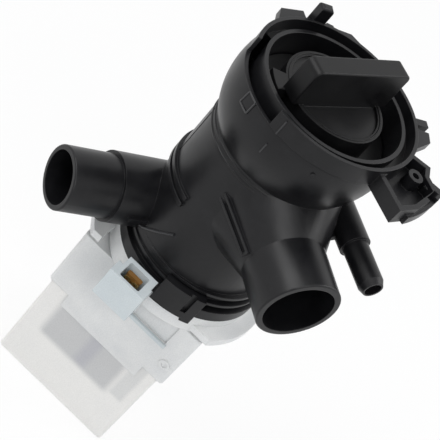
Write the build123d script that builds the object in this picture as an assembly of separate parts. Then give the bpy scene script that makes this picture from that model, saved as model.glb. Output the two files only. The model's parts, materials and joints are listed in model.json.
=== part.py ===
from build123d import *
import math
import os

# Washer drain pump, modelled standing on the flat rear face of its motor.
# +Z runs along the pump axis from the motor to the filter cap, +X along the inlet spigot
# and -Y along the outlet spigot. The origin is where the pump axis meets the rear face.
# All sizes are in millimetres.

# Shared values
overrun = 1.0  # how far a cutting shape runs past the face that it leaves
static_gap = 0.2  # clearance between fixed pieces that slip into each other
moving_gap = 0.3  # clearance between pieces that move past each other
seal_gap = 0.3  # room left between a soft seal and the wall that it would press on
bearing_clearance = 0.03  # radial running clearance of the shaft in its bearings

# Heights along the pump axis
motor_length = 95.0
neck_length = 11.8
housing_length = 119.2
rim_rise = 2.1

neck_z = motor_length
flange_z = neck_z + neck_length
lip_z = flange_z + housing_length
rim_z = lip_z + rim_rise

# Filter housing: outer body
body_radius = 35.0
body_shift = 1.7
body_shift_angle = -132.0
belly_radius = 41.2
belly_top_radius = 40.0
belly_top_drop = 4.0
belly_middle_drop = 17.0
belly_length = 37.0
step_ring_radius = 0.5
step_ring_drops = (38.6, 41.4)
body_shift_x = body_shift * math.cos(math.radians(body_shift_angle))
body_shift_y = body_shift * math.sin(math.radians(body_shift_angle))

# Filter housing: mouth
bore_radius = 34.5
lip_thickness = 2.0
rim_radius = 42.0
rim_thickness = 1.8
rim_band = 9.0
groove_depth = 7.0
pocket_depth = 21.0
pocket_start = -145.0
pocket_end = -62.0
window_start = -121.0
window_end = -63.0
window_drop = 6.5
window_shelf = 0.6

# Filter housing: inside
bore_depth = 26.0
bore_taper = 7.0
sump_radius = 31.0
sump_floor_height = 34.7
divider_thickness = 3.0
volute_radius = 31.0
eye_radius = 11.0
eye_guard_width = 1.6

# Filter housing: foot flange, beads and joint rib
flange_radius = 38.3
flange_thickness = 6.0
bead_radius = 0.8
bead_reach = (1.9, 1.1)
bead_heights = (9.7, 14.6)
joint_rib_reach = 1.5
joint_rib_width = 2.2
joint_rib_heights = (43.6, 47.8)
joint_rib_start = -185.0
joint_rib_end = -72.0
latch_reach = 1.9
latch_height = 13.0
latch_drop = 2.0
latch_start = -47.0
latch_end = -15.0
latch_tooth_drop = 3.6
latch_tooth_angle = 7.0
latch_groove_angle = 4.0

# Inlet spigot
inlet_radius = 19.0
inlet_wall = 3.0
inlet_mouth_x = 69.8
inlet_height = 57.5
inlet_root_x = 19.0
inlet_root_end_x = 45.0
inlet_root_half_width = 28.6
inlet_root_top = 36.0
inlet_root_bottom = 24.0
inlet_root_corner = 20.0
inlet_rib_thickness = 1.3
inlet_rib_gap = 2.4
inlet_rib_rise = 8.0
inlet_rib_over = 1.6
inlet_rib_end_gap = 1.6
inlet_rib_setback = 1.2
inlet_keel_width = 5.0
inlet_keel_reach = 1.6
inlet_keel_end_x = 44.0
mouth_fillet = 0.8

# Outlet spigot
outlet_radius = 15.0
outlet_wall = 2.5
outlet_mouth_y = -78.1
outlet_x = -16.2
outlet_height = 18.5
outlet_collar_reach = 1.5
outlet_collar_y = -53.0
outlet_rib_thickness = 2.2
outlet_rib_reach = 3.4
outlet_rib_end_y = -46.0
outlet_crown_reach = 0.5
outlet_crown_width = 1.6
outlet_crown_end_y = -49.5
outlet_bore_end_y = -6.0

# Drain nipple beside the inlet
nipple_radius = 5.9
nipple_bore_radius = 3.9
nipple_collar_radius = 7.2
nipple_x = 37.0
nipple_y = 29.7
nipple_height = 72.8
nipple_splay = 4.0
nipple_mouth_reach = 28.0
nipple_collar_reach = 5.2
nipple_tip_length = 3.0
nipple_tip_reach = 1.2
nipple_root_reach = 27.0
nipple_bore_end = 25.0
nipple_web_thickness = 2.4
nipple_web_x = 36.4

# Rim brackets, read clockwise from the screw bracket beside the drain nipple
bracket_radii = (60.3, 61.0, 60.5, 53.0, 51.5)
bracket_angles = (12.0, 23.0, 41.0, 46.0, 53.0)
bracket_wall = 2.4
bracket_height = 10.5
bracket_floor = 2.2
bracket_gap_start = 33.0
bracket_gap_end = 41.0
bracket_gap_drop = 5.0
bracket_gap_inset = 3.0
bracket_lip_start = 19.0
bracket_lip_end = 40.0
bracket_lip_reach = 1.0
bracket_lip_height = 4.5
screw_x = 37.7
screw_y = 29.9
screw_boss_radius = 3.7
screw_hole_radius = 1.7
clip_tab_start = 41.0
clip_tab_end = 48.0
clip_tab_radius = 62.2
clip_tab_root_radius = 53.5
clip_tab_rise = 0.6
clip_tab_height = 5.5
tab_thickness = 4.2
tab_root_radius = 41.0
stop_tab_radii = (50.0, 50.0)
stop_tab_angles = (56.0, 71.0, 78.0)
small_tab_radii = (50.6, 50.6)
small_tab_angles = (81.0, 82.0, 86.5)
flat_tab_radii = (43.6, 47.6, 45.4)
flat_tab_angles = (122.0, 126.0, 150.0, 158.0)
gusset_radii = (46.0, 46.0)
gusset_angles = (161.0, 162.0, 166.5)
hook_start = 171.0
hook_end = 179.5
hook_thickness = 3.6
hook_rise = 8.2
hook_fillet = 1.6
block_tab_radii = (48.6, 48.4)
block_tab_angles = (-152.0, -163.0, -178.5)

# Cap thread: short ridges in the bore and lugs on the cap, on one three-start helix
thread_lead = 12.0
thread_starts = 3
ridge_height = 1.5
ridge_depth = 1.9
ridge_span = 70.0
ridge_drop = 23.0
lug_height = 1.7
lug_span = 20.0
lug_offset = 20.0
thread_step = 10.0
thread_seat = 0.6

# Filter cap
cap_disc_radius = 25.0
cap_disc_drop = 1.0
cap_disc_thickness = 2.6
cap_drum_wall = 2.4
cap_flange_drop = 13.5
cap_flange_thickness = 5.0
cap_flange_clearance = 0.6
cap_skirt_length = 11.0
cap_skirt_wall = 2.2
cap_web_thickness = 2.4
cap_stop_start = -106.0
cap_stop_end = -84.0
cap_stop_reach = 6.6
cap_stop_thickness = 5.0
grip_length = 56.4
grip_thickness = 9.6
grip_rise = 19.0
grip_turn = 101.8
grip_corner = 3.0
grip_edge = 0.8
grip_hollow_wall = 2.0
grip_hollow_depth = 14.0
grip_hollow_half_length = 21.0
dish_radius = 22.4
dish_depth = 1.0
hub_radius = 6.0
hub_length = 9.0
hub_pin_radius = 1.5
hub_pin_overhang = 2.2
hub_pin_inset = 2.6
cap_seal_section = 1.5
cap_seal_bed = 0.1

# Strainer basket
basket_radius = 28.6
basket_wall = 2.0
basket_floor = 2.4
basket_lift = 1.0
basket_ring_height = 5.0
basket_slots = 12
basket_slot_width = 6.0
basket_slot_bands = 2
basket_band = 4.0
basket_mouth_half_width = 17.0
basket_hub_radius = 10.0
basket_hub_thickness = 3.0
basket_spokes = 4
basket_spoke_width = 4.0
basket_floor_slots = 7
basket_floor_slot_width = 4.0
basket_floor_bar = 2.6
basket_keys = 2
basket_key_width = 4.0
basket_key_start = 90.0

# Motor: rectangular casing turned a little under an eighth of a turn about the pump axis.
# In the casing's own axes, X runs along its printed face and -Y points out of that face.
motor_turn = 41.8
casing_low_x = -41.2
casing_high_x = 33.2
casing_half_y = 28.4
casing_corner = 2.2
casing_wall = 2.0
casing_front_wall = 3.0
casing_split_z = 58.4
cover_low_x = -39.3
cover_high_x = 30.3
cover_half_y = 27.8
cover_wall = 1.8
cover_foot_rise = 0.8
cover_foot_low_x = -33.0
cover_foot_high_x = 17.0
cover_foot_inset = 1.0
face_skirt_low_x = -28.4
face_skirt_high_x = 21.0
face_skirt_z = 50.0
face_boss_x = 27.6
face_boss_z = 69.4
face_boss_radius = 3.0
face_boss_rise = 0.6
face_boss_dimple = 1.6
face_window_low_x = 0.5
face_window_high_x = 21.0
face_window_low_z = 79.4
face_window_high_z = 93.0
face_window_depth = 1.0
vent_slot_count = 5
vent_slot_width = 2.4
vent_slot_pitch = 7.0
vent_slot_length = 22.0

# Motor flange: round neck, two ears and the pilot that closes the pump chamber
neck_radius = 38.0
neck_wall = 2.5
neck_edge = 1.2
neck_plate = 3.0
ear_radius = 47.2
ear_shift = -2.0
ear_half_width = 29.5
ear_thickness = 4.0
ear_rise = 2.5
ear_corner = 6.0
ear_notch_low_x = -34.0
ear_notch_high_x = -12.0
ear_notch_end_y = -17.0
ear_notch_corner = 2.5
pilot_height = 5.0
pilot_clearance = 0.6
chamber_seal_section = 1.5
chamber_seal_bed = 0.1
can_seat_radius = 19.0
can_flange_thickness = 2.4
shaft_window = 0.4

# Connector
socket_low_x = -17.3
socket_high_x = -0.3
socket_back_y = -38.9
socket_front_y = -53.9
socket_rise = 18.6
hole_low_x = -15.2
hole_high_x = -3.7
hole_back_y = -41.4
hole_front_y = -52.5
hole_depth = 13.0
hole_corner = 1.0
gusset_low_z = 75.8
gusset_front_z = 96.0
gusset_tongue = 1.6
pad_low_x = -19.6
pad_high_x = 0.5
pad_thickness = 8.0
ledge_high_x = 22.0
ledge_low_z = 77.4
ledge_height = 2.0
ledge_reach = 1.4
carrier_thickness = 2.6
carrier_setback = 1.4
carrier_drop = 2.4
carrier_margin = 1.6
carrier_corner = 1.0
terminal_width = 3.4
terminal_thickness = 0.8
terminal_tip_drop = 3.4
terminal_shelf_z = 91.2
terminal_foot_y = -23.7
terminal_tail = 6.0
terminal_pitch = 4.6
terminal_hole_radius = 0.8
terminal_chamfer = 0.8
terminal_window_gap = 0.4
tower_top_z = 76.8

# Stator
core_low_x = -35.5
core_high_x = 21.5
core_half_y = 19.5
core_low_z = 27.0
core_stack = 30.0
pole_bore_radius = 13.3
leg_inner_y = 11.0
yoke_thickness = 9.0
pole_low_x = -14.0
pole_gap = 3.0
rivet_radius = 1.6
rivet_clearance = 0.03
rivet_head_radius = 2.6
rivet_head_height = 1.0
rivet_inset = 4.2
bobbin_wall = 1.0
bobbin_flange_wall = 1.2
bobbin_slack = 0.2
coil_thickness = 3.8
coil_flange_reach = 0.4
bobbin_tower_depth = 5.0
bobbin_tower_width = 8.0
cutout_length = 9.0
cutout_width = 6.0
cutout_thickness = 2.6

# Rotor can and its bearings
can_radius = 12.8
can_wall = 0.9
can_bottom_z = 14.0
can_bottom_wall = 1.6
bearing_radius = 5.4
bearing_length = 8.0
front_bearing_z = 92.0
holder_rib = 1.5
holder_slot_half_width = 1.5
holder_slot_start = 5.0
cradle_wall = 1.8

# Rotor
shaft_radius = 2.0
shaft_low_z = 16.4
shaft_high_z = 129.5
magnet_radius = 11.3
magnet_low_z = 27.5
magnet_length = 30.0
carrier_radius = 4.4
washer_radius = 4.6
washer_thickness = 0.8
dog_hub_radius = 4.6
dog_low_z = 113.6
dog_height = 6.0
dog_arm_reach = 9.4
dog_arm_width = 3.6

# Impeller
impeller_radius = 24.0
impeller_plate_z = 121.4
impeller_plate_thickness = 1.8
impeller_blades = 6
blade_height = 8.0
blade_thickness = 1.8
blade_inner_radius = 5.0
blade_bow = 2.2
blade_tip_inset = 0.5
impeller_hub_radius = 5.6
impeller_hub_height = 5.0
impeller_drum_radius = 12.2
impeller_drum_wall = 1.8
impeller_drum_depth = 8.6
impeller_stop_angle = 24.0
impeller_stop_reach = 4.0
damper_angle = 6.0
clip_radius = 3.6
clip_thickness = 0.9
clip_gap = 0.4


def disc(radius, low, high, x=0, y=0):
    """Upright cylinder between two heights."""
    return Pos(x, y, low) * Cylinder(radius, high - low, align=(Align.CENTER, Align.CENTER, Align.MIN))


def tube(outer, inner, low, high, x=0, y=0):
    """Upright pipe between two heights."""
    return disc(outer, low, high, x, y) - disc(inner, low - overrun, high + overrun, x, y)


def block(low_x, high_x, low_y, high_y, low_z, high_z):
    """Box between two corners."""
    centre = Pos((low_x + high_x) / 2, (low_y + high_y) / 2, (low_z + high_z) / 2)
    return centre * Box(high_x - low_x, high_y - low_y, high_z - low_z)


def sector(inner, outer, start, end, low, high):
    """Part of an upright ring between two angles in degrees."""
    section = Plane.XZ * Pos((inner + outer) / 2, (low + high) / 2) * Rectangle(outer - inner, high - low)
    return Rot(0, 0, start) * revolve(section, Axis.Z, end - start)


def rod_x(radius, low, high, y, z):
    """Cylinder along X."""
    lying = Rot(0, 90, 0) * Cylinder(radius, high - low, align=(Align.CENTER, Align.CENTER, Align.MIN))
    return Pos(low, y, z) * lying


def rod_y(radius, low, high, x, z):
    """Cylinder along Y."""
    lying = Rot(-90, 0, 0) * Cylinder(radius, high - low, align=(Align.CENTER, Align.CENTER, Align.MIN))
    return Pos(x, low, z) * lying


def ring(path_radius, section_radius, z):
    """Round wire bent to a closed ring."""
    return Pos(0, 0, z) * Torus(path_radius, section_radius)


def on_body_axis(shape):
    """Moves a shape from the pump axis to the axis of the housing's outer body."""
    return Pos(body_shift_x, body_shift_y, 0) * shape


def on_motor(shape):
    """Turns a shape from the casing's own axes into the pump's."""
    return Rot(0, 0, motor_turn) * shape


def helix_band(inner, outer, height, start, span, low):
    """Short helical band: flat sections set round the axis, each a little higher than the last."""
    steps = round(span / thread_step)
    sections = []
    for step in range(steps + 1):
        angle = step * span / steps
        middle_z = low + height / 2 + thread_lead * angle / 360
        flat = Plane.XZ * Pos((inner + outer) / 2, middle_z) * Rectangle(outer - inner, height)
        sections.append(Rot(0, 0, start + angle) * flat)
    return loft(sections, ruled=True)


def rounded_block(low_x, high_x, low_y, high_y, low_z, high_z, corner):
    """Box with its four upright edges rounded."""
    solid = block(low_x, high_x, low_y, high_y, low_z, high_z)
    return fillet(solid.edges().filter_by(Axis.Z), corner)


# Heights worked out from the sizes above
inlet_z = flange_z + inlet_height
outlet_z = flange_z + outlet_height
nipple_z = flange_z + nipple_height
sump_floor_z = flange_z + sump_floor_height
volute_top_z = sump_floor_z - divider_thickness
bore_end_z = lip_z - bore_depth
sump_top_z = bore_end_z - bore_taper
lip_radius = bore_radius + lip_thickness
groove_radius = rim_radius - rim_thickness
bracket_low_z = rim_z - bracket_height


def body_outside():
    """Belly and straight body, turned round the body axis."""
    top_z = lip_z - belly_top_drop
    bottom_z = lip_z - belly_length
    belly = ThreePointArc(
        (belly_top_radius, top_z), (belly_radius, lip_z - belly_middle_drop), (body_radius, bottom_z)
    )
    inside = Polyline(
        (body_radius, bottom_z),
        (body_radius, flange_z),
        (0, flange_z),
        (0, top_z),
        (belly_top_radius, top_z),
    )
    return on_body_axis(revolve(Plane.XZ * make_face(belly + inside), Axis.Z))


def body_rings():
    """Raised lines round the body: below the belly, at the foot and along the joint rib."""
    rings = []
    for drop in step_ring_drops:
        rings.append(on_body_axis(ring(body_radius, step_ring_radius, lip_z - drop)))
    for reach, height in zip(bead_reach, bead_heights):
        middle = flange_z + height
        rings.append(disc(body_radius + reach, middle - bead_radius, middle + bead_radius))
    for height in joint_rib_heights:
        outer = body_radius + joint_rib_reach
        low = flange_z + height - joint_rib_width / 2
        high = flange_z + height + joint_rib_width / 2
        rib = sector(sump_radius + overrun, outer, joint_rib_start, joint_rib_end, low, high)
        rings.append(on_body_axis(rib))
    return rings


def foot():
    """Foot flange with the latch that holds the motor flange."""
    solid = disc(flange_radius, flange_z, flange_z + flange_thickness)
    outer = flange_radius + latch_reach
    top = flange_z + latch_height
    latch = sector(neck_radius + static_gap, outer, latch_start, latch_end, flange_z - latch_drop, top)
    root = sector(body_radius - overrun, outer, latch_start, latch_end, flange_z, top)
    tooth_start = latch_end - latch_tooth_angle
    tooth = sector(
        neck_radius + static_gap, outer, tooth_start, latch_end, flange_z - latch_tooth_drop, flange_z
    )
    relief_start = tooth_start - latch_groove_angle
    relief = sector(
        flange_radius, outer + overrun, relief_start, tooth_start, flange_z + latch_drop, top + overrun
    )
    return solid + latch + root + tooth - relief


def inlet_flare():
    """Flared root of the inlet, a rounded rectangle that narrows to the spigot."""
    height = inlet_root_top + inlet_root_bottom
    rise = (inlet_root_top - inlet_root_bottom) / 2
    root = RectangleRounded(2 * inlet_root_half_width, height, inlet_root_corner)
    end = RectangleRounded(2 * inlet_radius, 2 * inlet_radius, inlet_radius - static_gap / 2)
    root_section = Plane.YZ * Pos(0, inlet_z + rise, inlet_root_x) * root
    end_section = Plane.YZ * Pos(0, inlet_z, inlet_root_end_x) * end
    return loft([root_section, end_section], ruled=True)


def inlet_ribs():
    """Two fins with a slot between them along the flare's left edge."""
    length = inlet_root_end_x - inlet_root_x
    outer_low = inlet_root_half_width + inlet_rib_over
    outer_high = inlet_radius + inlet_rib_over
    end = Box(inlet_rib_end_gap, inlet_rib_over + overrun, inlet_rib_gap)
    fins = []
    for side in (-1, 1):
        outline = Polyline((0, 0), (0, -outer_high), (-length, -outer_low), (-length, 0), close=True)
        low = side * (inlet_rib_gap + inlet_rib_thickness) / 2 - inlet_rib_thickness / 2
        fins.append(Pos(0, 0, low) * extrude(make_face(outline), inlet_rib_thickness))
    fins.append(Pos(-inlet_rib_end_gap / 2, -outer_high + end.bounding_box().size.Y / 2, 0) * end)
    tilt = math.degrees(math.atan2(inlet_rib_rise, length))
    end_x = inlet_root_end_x - inlet_rib_setback
    return [Pos(end_x, 0, inlet_z) * Rot(0, tilt, 0) * fin for fin in fins]


def inlet_outside():
    """Inlet spigot with its flared root, side fins and keel."""
    spigot = rod_x(inlet_radius, inlet_root_end_x - overrun, inlet_mouth_x, 0, inlet_z)
    mouth = spigot.edges().filter_by(GeomType.CIRCLE).sort_by(Axis.X)[-1]
    solid = fillet(mouth, mouth_fillet)
    solid += inlet_flare()
    for fin in inlet_ribs():
        solid += fin
    keel = block(
        inlet_root_x,
        inlet_keel_end_x,
        -inlet_keel_width / 2,
        inlet_keel_width / 2,
        inlet_z - inlet_radius - inlet_keel_reach,
        inlet_z,
    )
    return solid + keel


def outlet_outside():
    """Outlet spigot with its collar, the line on its crown and the rib on its side."""
    spigot = rod_y(outlet_radius, outlet_mouth_y, 0, outlet_x, outlet_z)
    mouth = spigot.edges().filter_by(GeomType.CIRCLE).sort_by(Axis.Y)[0]
    solid = fillet(mouth, mouth_fillet)
    solid += rod_y(outlet_radius + outlet_collar_reach, outlet_collar_y, 0, outlet_x, outlet_z)
    half = outlet_crown_width / 2
    crown_z = outlet_z + outlet_radius + outlet_crown_reach
    solid += block(outlet_x - half, outlet_x + half, outlet_crown_end_y, 0, outlet_z, crown_z)
    half = outlet_rib_thickness / 2
    reach = outlet_radius + outlet_rib_reach
    solid += block(outlet_x, outlet_x + reach, outlet_rib_end_y, 0, outlet_z - half, outlet_z + half)
    return solid


def nipple_place():
    """Location on the drain nipple's axis, with Z along it, where it passes the inlet's web."""
    return Pos(nipple_x, nipple_y, nipple_z) * Rot(0, 0, nipple_splay) * Rot(0, 90, 0)


def nipple_outside():
    """Drain nipple with its thicker root and the web that ties it to the inlet."""
    thin = disc(nipple_radius, 0, nipple_mouth_reach)
    tip = thin.edges().filter_by(GeomType.CIRCLE).sort_by(Axis.Z)[-1]
    thin = chamfer(tip, nipple_tip_length, nipple_tip_reach)
    thick = disc(nipple_collar_radius, -nipple_root_reach, nipple_collar_reach)
    solid = thin + thick + Pos(0, 0, -nipple_root_reach) * Sphere(nipple_collar_radius)
    half = nipple_web_thickness / 2
    rise = math.degrees(math.atan2(nipple_z - inlet_z, nipple_y))
    web_length = math.hypot(nipple_z - inlet_z, nipple_y)
    plate = Rot(rise, 0, 0) * block(sump_radius, nipple_web_x, 0, web_length, -half, half)
    return nipple_place() * solid + Pos(0, 0, inlet_z) * plate


def rim_point(radius, angle):
    """Point in the rim's plane."""
    return (radius * math.cos(math.radians(angle)), radius * math.sin(math.radians(angle)))


def rim_tab(radii, angles):
    """Flat tab that rises from the rim at the first angle and falls back at the last."""
    first, *others = angles
    corners = [rim_point(tab_root_radius, first)]
    corners += [rim_point(radius, angle) for radius, angle in zip(radii, others)]
    corners.append(rim_point(tab_root_radius, others[-1]))
    outline = Polyline(*corners, close=True)
    return Pos(0, 0, rim_z - rim_rise - tab_thickness) * extrude(make_face(outline), tab_thickness)


def rim_tabs():
    """Tabs and hook round the outside of the rim."""
    tabs = [
        rim_tab(stop_tab_radii, stop_tab_angles),
        rim_tab(small_tab_radii, small_tab_angles),
        rim_tab(flat_tab_radii, flat_tab_angles),
        rim_tab(gusset_radii, gusset_angles),
        rim_tab(block_tab_radii, block_tab_angles),
    ]
    hook = sector(
        tab_root_radius,
        rim_radius + hook_thickness,
        hook_start,
        hook_end,
        rim_z - rim_rise - tab_thickness,
        rim_z + hook_rise,
    )
    tabs.append(fillet(hook.edges().group_by(Axis.Z)[-1], hook_fillet))
    return tabs


def screw_bracket():
    """Bracket beside the drain nipple: a tray with a screw boss, a hook lip and a clip."""
    root_angles = (bracket_angles[-1], bracket_angles[0])
    root_points = [rim_point(tab_root_radius, angle) for angle in root_angles]
    outer_points = [rim_point(radius, angle) for radius, angle in zip(bracket_radii, bracket_angles)]
    outline = make_face(Polyline(*outer_points, *root_points, close=True))
    top = rim_z - rim_rise
    tray = Pos(0, 0, bracket_low_z) * extrude(outline, top - bracket_low_z)
    pocket = extrude(offset(outline, -bracket_wall, kind=Kind.INTERSECTION), bracket_height)
    tray -= Pos(0, 0, bracket_low_z + bracket_floor) * pocket
    tray -= sector(
        bracket_radii[1] - bracket_gap_inset,
        bracket_radii[1] + overrun,
        bracket_gap_start,
        bracket_gap_end,
        top - bracket_gap_drop,
        top + overrun,
    )
    lip = sector(
        bracket_radii[1] - bracket_gap_inset,
        bracket_radii[1] + bracket_lip_reach,
        bracket_lip_start,
        bracket_lip_end,
        bracket_low_z,
        bracket_low_z + bracket_lip_height,
    )
    clip_low = bracket_low_z + clip_tab_rise
    clip = sector(
        clip_tab_root_radius,
        clip_tab_radius,
        clip_tab_start,
        clip_tab_end,
        clip_low,
        clip_low + clip_tab_height,
    )
    boss = disc(screw_boss_radius, bracket_low_z, top, screw_x, screw_y)
    return tray + lip + clip + boss


def housing_inside():
    """Everything that is hollow in the housing."""
    cuts = [
        disc(bore_radius, bore_end_z, rim_z + overrun),
        Pos(0, 0, sump_top_z)
        * Cone(sump_radius, bore_radius, bore_taper, align=(Align.CENTER, Align.CENTER, Align.MIN)),
        disc(sump_radius, sump_floor_z, sump_top_z),
        disc(volute_radius, flange_z - overrun, volute_top_z),
        tube(groove_radius, lip_radius, rim_z - groove_depth, rim_z + overrun),
        sector(bore_radius - overrun, groove_radius, 0, 360, lip_z, rim_z + overrun),
        sector(lip_radius, groove_radius, pocket_start, pocket_end, rim_z - pocket_depth, rim_z + overrun),
        sector(
            lip_radius + window_shelf,
            rim_radius + overrun,
            window_start,
            window_end,
            lip_z - window_drop,
            rim_z + overrun,
        ),
        rod_x(inlet_radius - inlet_wall, 0, inlet_mouth_x + overrun, 0, inlet_z),
        rod_y(outlet_radius - outlet_wall, outlet_mouth_y - overrun, outlet_bore_end_y, outlet_x, outlet_z),
        nipple_place() * disc(nipple_bore_radius, -nipple_bore_end, nipple_mouth_reach + overrun),
        disc(screw_hole_radius, bracket_low_z - overrun, rim_z + overrun, screw_x, screw_y),
    ]
    return cuts


def eye():
    """Opening in the divider, left with a cross of guard bars."""
    hole = disc(eye_radius, volute_top_z - overrun, sump_floor_z + overrun)
    half = eye_guard_width / 2
    for turn in (0, 90):
        hole -= Rot(0, 0, turn) * block(
            -eye_radius, eye_radius, -half, half, volute_top_z, sump_floor_z
        )
    return hole


def bore_ridges():
    """Thread ridges that the cap's lugs run under."""
    ridges = []
    for start in range(thread_starts):
        angle = start * 360 / thread_starts
        low = lip_z - ridge_drop
        inner = bore_radius - ridge_depth
        outer = bore_radius + thread_seat
        ridges.append(helix_band(inner, outer, ridge_height, angle, ridge_span, low))
    return ridges


def filter_housing():
    """One moulding: filter chamber, sump, pump chamber, spigots and brackets."""
    solid = body_outside()
    solid += disc(rim_radius, rim_z - rim_band, rim_z)
    for part in body_rings():
        solid += part
    solid += foot()
    solid += inlet_outside()
    solid += outlet_outside()
    solid += nipple_outside()
    for part in rim_tabs():
        solid += part
    solid += screw_bracket()
    for cut in housing_inside():
        solid -= cut
    solid -= eye()
    for ridge in bore_ridges():
        solid += ridge
    return solid


# Cap heights
cap_top_z = lip_z - cap_disc_drop
cap_flange_top_z = lip_z - cap_flange_drop
cap_flange_z = cap_flange_top_z - cap_flange_thickness
cap_skirt_z = cap_flange_z - cap_skirt_length
cap_flange_radius = bore_radius - cap_flange_clearance
cap_skirt_radius = bore_radius - ridge_depth - moving_gap - static_gap
cap_seal_z = cap_flange_z + cap_flange_thickness / 2
cap_seal_path = bore_radius - seal_gap - cap_seal_section
hub_low_z = cap_skirt_z - hub_length


def grip():
    """Grip bar across the cap, hollowed from below like the moulding."""
    low = cap_top_z - cap_disc_thickness
    half_length = grip_length / 2
    half_width = grip_thickness / 2
    bar = block(-half_length, half_length, -half_width, half_width, cap_top_z, lip_z + grip_rise)
    bar = fillet(bar.edges().filter_by(Axis.Y).sort_by(Axis.Z)[-2:], grip_corner)
    bar = fillet(bar.edges().filter_by(Axis.X).sort_by(Axis.Z)[-2:], grip_edge)
    root_half = cap_disc_radius - cap_drum_wall
    root = block(-root_half, root_half, -half_width, half_width, low, cap_top_z + overrun)
    hollow_half_width = half_width - grip_hollow_wall
    hollow = block(
        -grip_hollow_half_length,
        grip_hollow_half_length,
        -hollow_half_width,
        hollow_half_width,
        low - overrun,
        low + grip_hollow_depth,
    )
    return Rot(0, 0, grip_turn) * (bar + root), Rot(0, 0, grip_turn) * hollow


def cap_lugs():
    """Thread lugs under the cap's flange, set just below the bore's ridges."""
    lugs = []
    for start in range(thread_starts):
        angle = lug_offset + start * 360 / thread_starts
        rise = thread_lead * lug_offset / 360
        low = lip_z - ridge_drop + rise - moving_gap - lug_height
        outer = bore_radius - moving_gap
        inner = cap_skirt_radius - thread_seat
        lugs.append(helix_band(inner, outer, lug_height, angle, lug_span, low))
    return lugs


def cap_knob():
    """Filter cap: dished disc on a drum, sealing flange, threaded skirt, hub and grip bar."""
    bar, hollow = grip()
    solid = disc(cap_disc_radius, cap_top_z - cap_disc_thickness, cap_top_z)
    solid += tube(cap_disc_radius, cap_disc_radius - cap_drum_wall, cap_flange_z, cap_top_z)
    inner = cap_skirt_radius - cap_skirt_wall
    solid += tube(cap_flange_radius, cap_disc_radius - cap_drum_wall, cap_flange_z, cap_flange_top_z)
    solid += tube(cap_skirt_radius, inner, cap_skirt_z, cap_flange_z)
    solid += disc(inner + overrun, cap_skirt_z, cap_skirt_z + cap_web_thickness)
    solid += disc(hub_radius, hub_low_z, cap_skirt_z)
    solid -= disc(dish_radius, cap_top_z - dish_depth, cap_top_z)
    solid -= ring(cap_seal_path, cap_seal_section + cap_seal_bed, cap_seal_z)
    solid += sector(
        cap_disc_radius - cap_drum_wall,
        cap_disc_radius + cap_stop_reach,
        cap_stop_start,
        cap_stop_end,
        cap_top_z - cap_stop_thickness,
        cap_top_z,
    )
    solid += bar
    solid -= hollow
    for lug in cap_lugs():
        solid += lug
    pin_z = hub_low_z + hub_pin_inset
    reach = hub_radius + overrun
    solid -= rod_y(hub_pin_radius + static_gap / 2, -reach, reach, 0, pin_z)
    return solid


def cap_seal():
    """Seal ring in the cap's flange."""
    return ring(cap_seal_path, cap_seal_section, cap_seal_z)


def hub_pin():
    """Cross pin that keeps the basket on the cap's hub."""
    reach = hub_radius + hub_pin_overhang
    return rod_y(hub_pin_radius, -reach, reach, 0, hub_low_z + hub_pin_inset)


# Basket heights: the hub plate hangs between the cap's skirt and the cross pin
basket_top_z = cap_skirt_z - moving_gap
basket_low_z = sump_floor_z + basket_lift
hub_plate_low_z = hub_low_z + hub_pin_inset + hub_pin_radius + moving_gap


def basket_windows():
    """Slots round the basket's wall, in bands."""
    slots = []
    low = basket_low_z + basket_band
    high = basket_top_z - basket_ring_height
    pitch = (high - low) / basket_slot_bands
    half = basket_slot_width / 2
    for band in range(basket_slot_bands):
        band_low = low + band * pitch
        for count in range(basket_slots):
            slot = block(0, basket_radius + overrun, -half, half, band_low, band_low + pitch - basket_band)
            slots.append(Rot(0, 0, (count + 1 / 2) * 360 / basket_slots) * slot)
    return slots


def strainer_basket():
    """Basket that catches lint and coins, open towards the inlet."""
    inner = basket_radius - basket_wall
    solid = tube(basket_radius, inner, basket_low_z, basket_top_z)
    solid += disc(basket_radius, basket_low_z, basket_low_z + basket_floor)
    for slot in basket_windows():
        solid -= slot
    solid -= block(
        0,
        basket_radius + overrun,
        -basket_mouth_half_width,
        basket_mouth_half_width,
        basket_low_z + basket_band,
        basket_top_z - basket_ring_height,
    )
    floor_pitch = basket_floor_slot_width + basket_floor_bar
    for count in range(basket_floor_slots):
        middle = (count - (basket_floor_slots - 1) / 2) * floor_pitch
        half = basket_floor_slot_width / 2
        length = math.sqrt((inner - basket_floor_bar) ** 2 - middle**2)
        solid -= block(
            middle - half,
            middle + half,
            -length,
            length,
            basket_low_z - overrun,
            basket_low_z + basket_floor + overrun,
        )
    hub_hole = hub_radius + moving_gap
    hub_top = basket_top_z
    solid += disc(basket_hub_radius, hub_plate_low_z, hub_top)
    for count in range(basket_spokes):
        half = basket_spoke_width / 2
        spoke = block(0, inner + overrun, -half, half, hub_top - basket_hub_thickness, hub_top)
        solid += Rot(0, 0, (count + 1 / 2) * 360 / basket_spokes) * spoke
    solid -= disc(hub_hole, hub_plate_low_z - overrun, hub_top + overrun)
    key_outer = sump_radius - moving_gap
    for count in range(basket_keys):
        half = basket_key_width / 2
        key = block(inner + overrun, key_outer, -half, half, basket_low_z, basket_low_z + basket_ring_height)
        solid += Rot(0, 0, basket_key_start + count * 360 / basket_keys) * key
    return solid


# Motor flange heights
plate_low_z = flange_z - neck_plate
pilot_top_z = flange_z + pilot_height
pilot_radius = volute_radius - pilot_clearance
chamber_seal_path = volute_radius - seal_gap - chamber_seal_section
chamber_seal_z = flange_z + pilot_height / 2
can_flange_z = plate_low_z - can_flange_thickness


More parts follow.
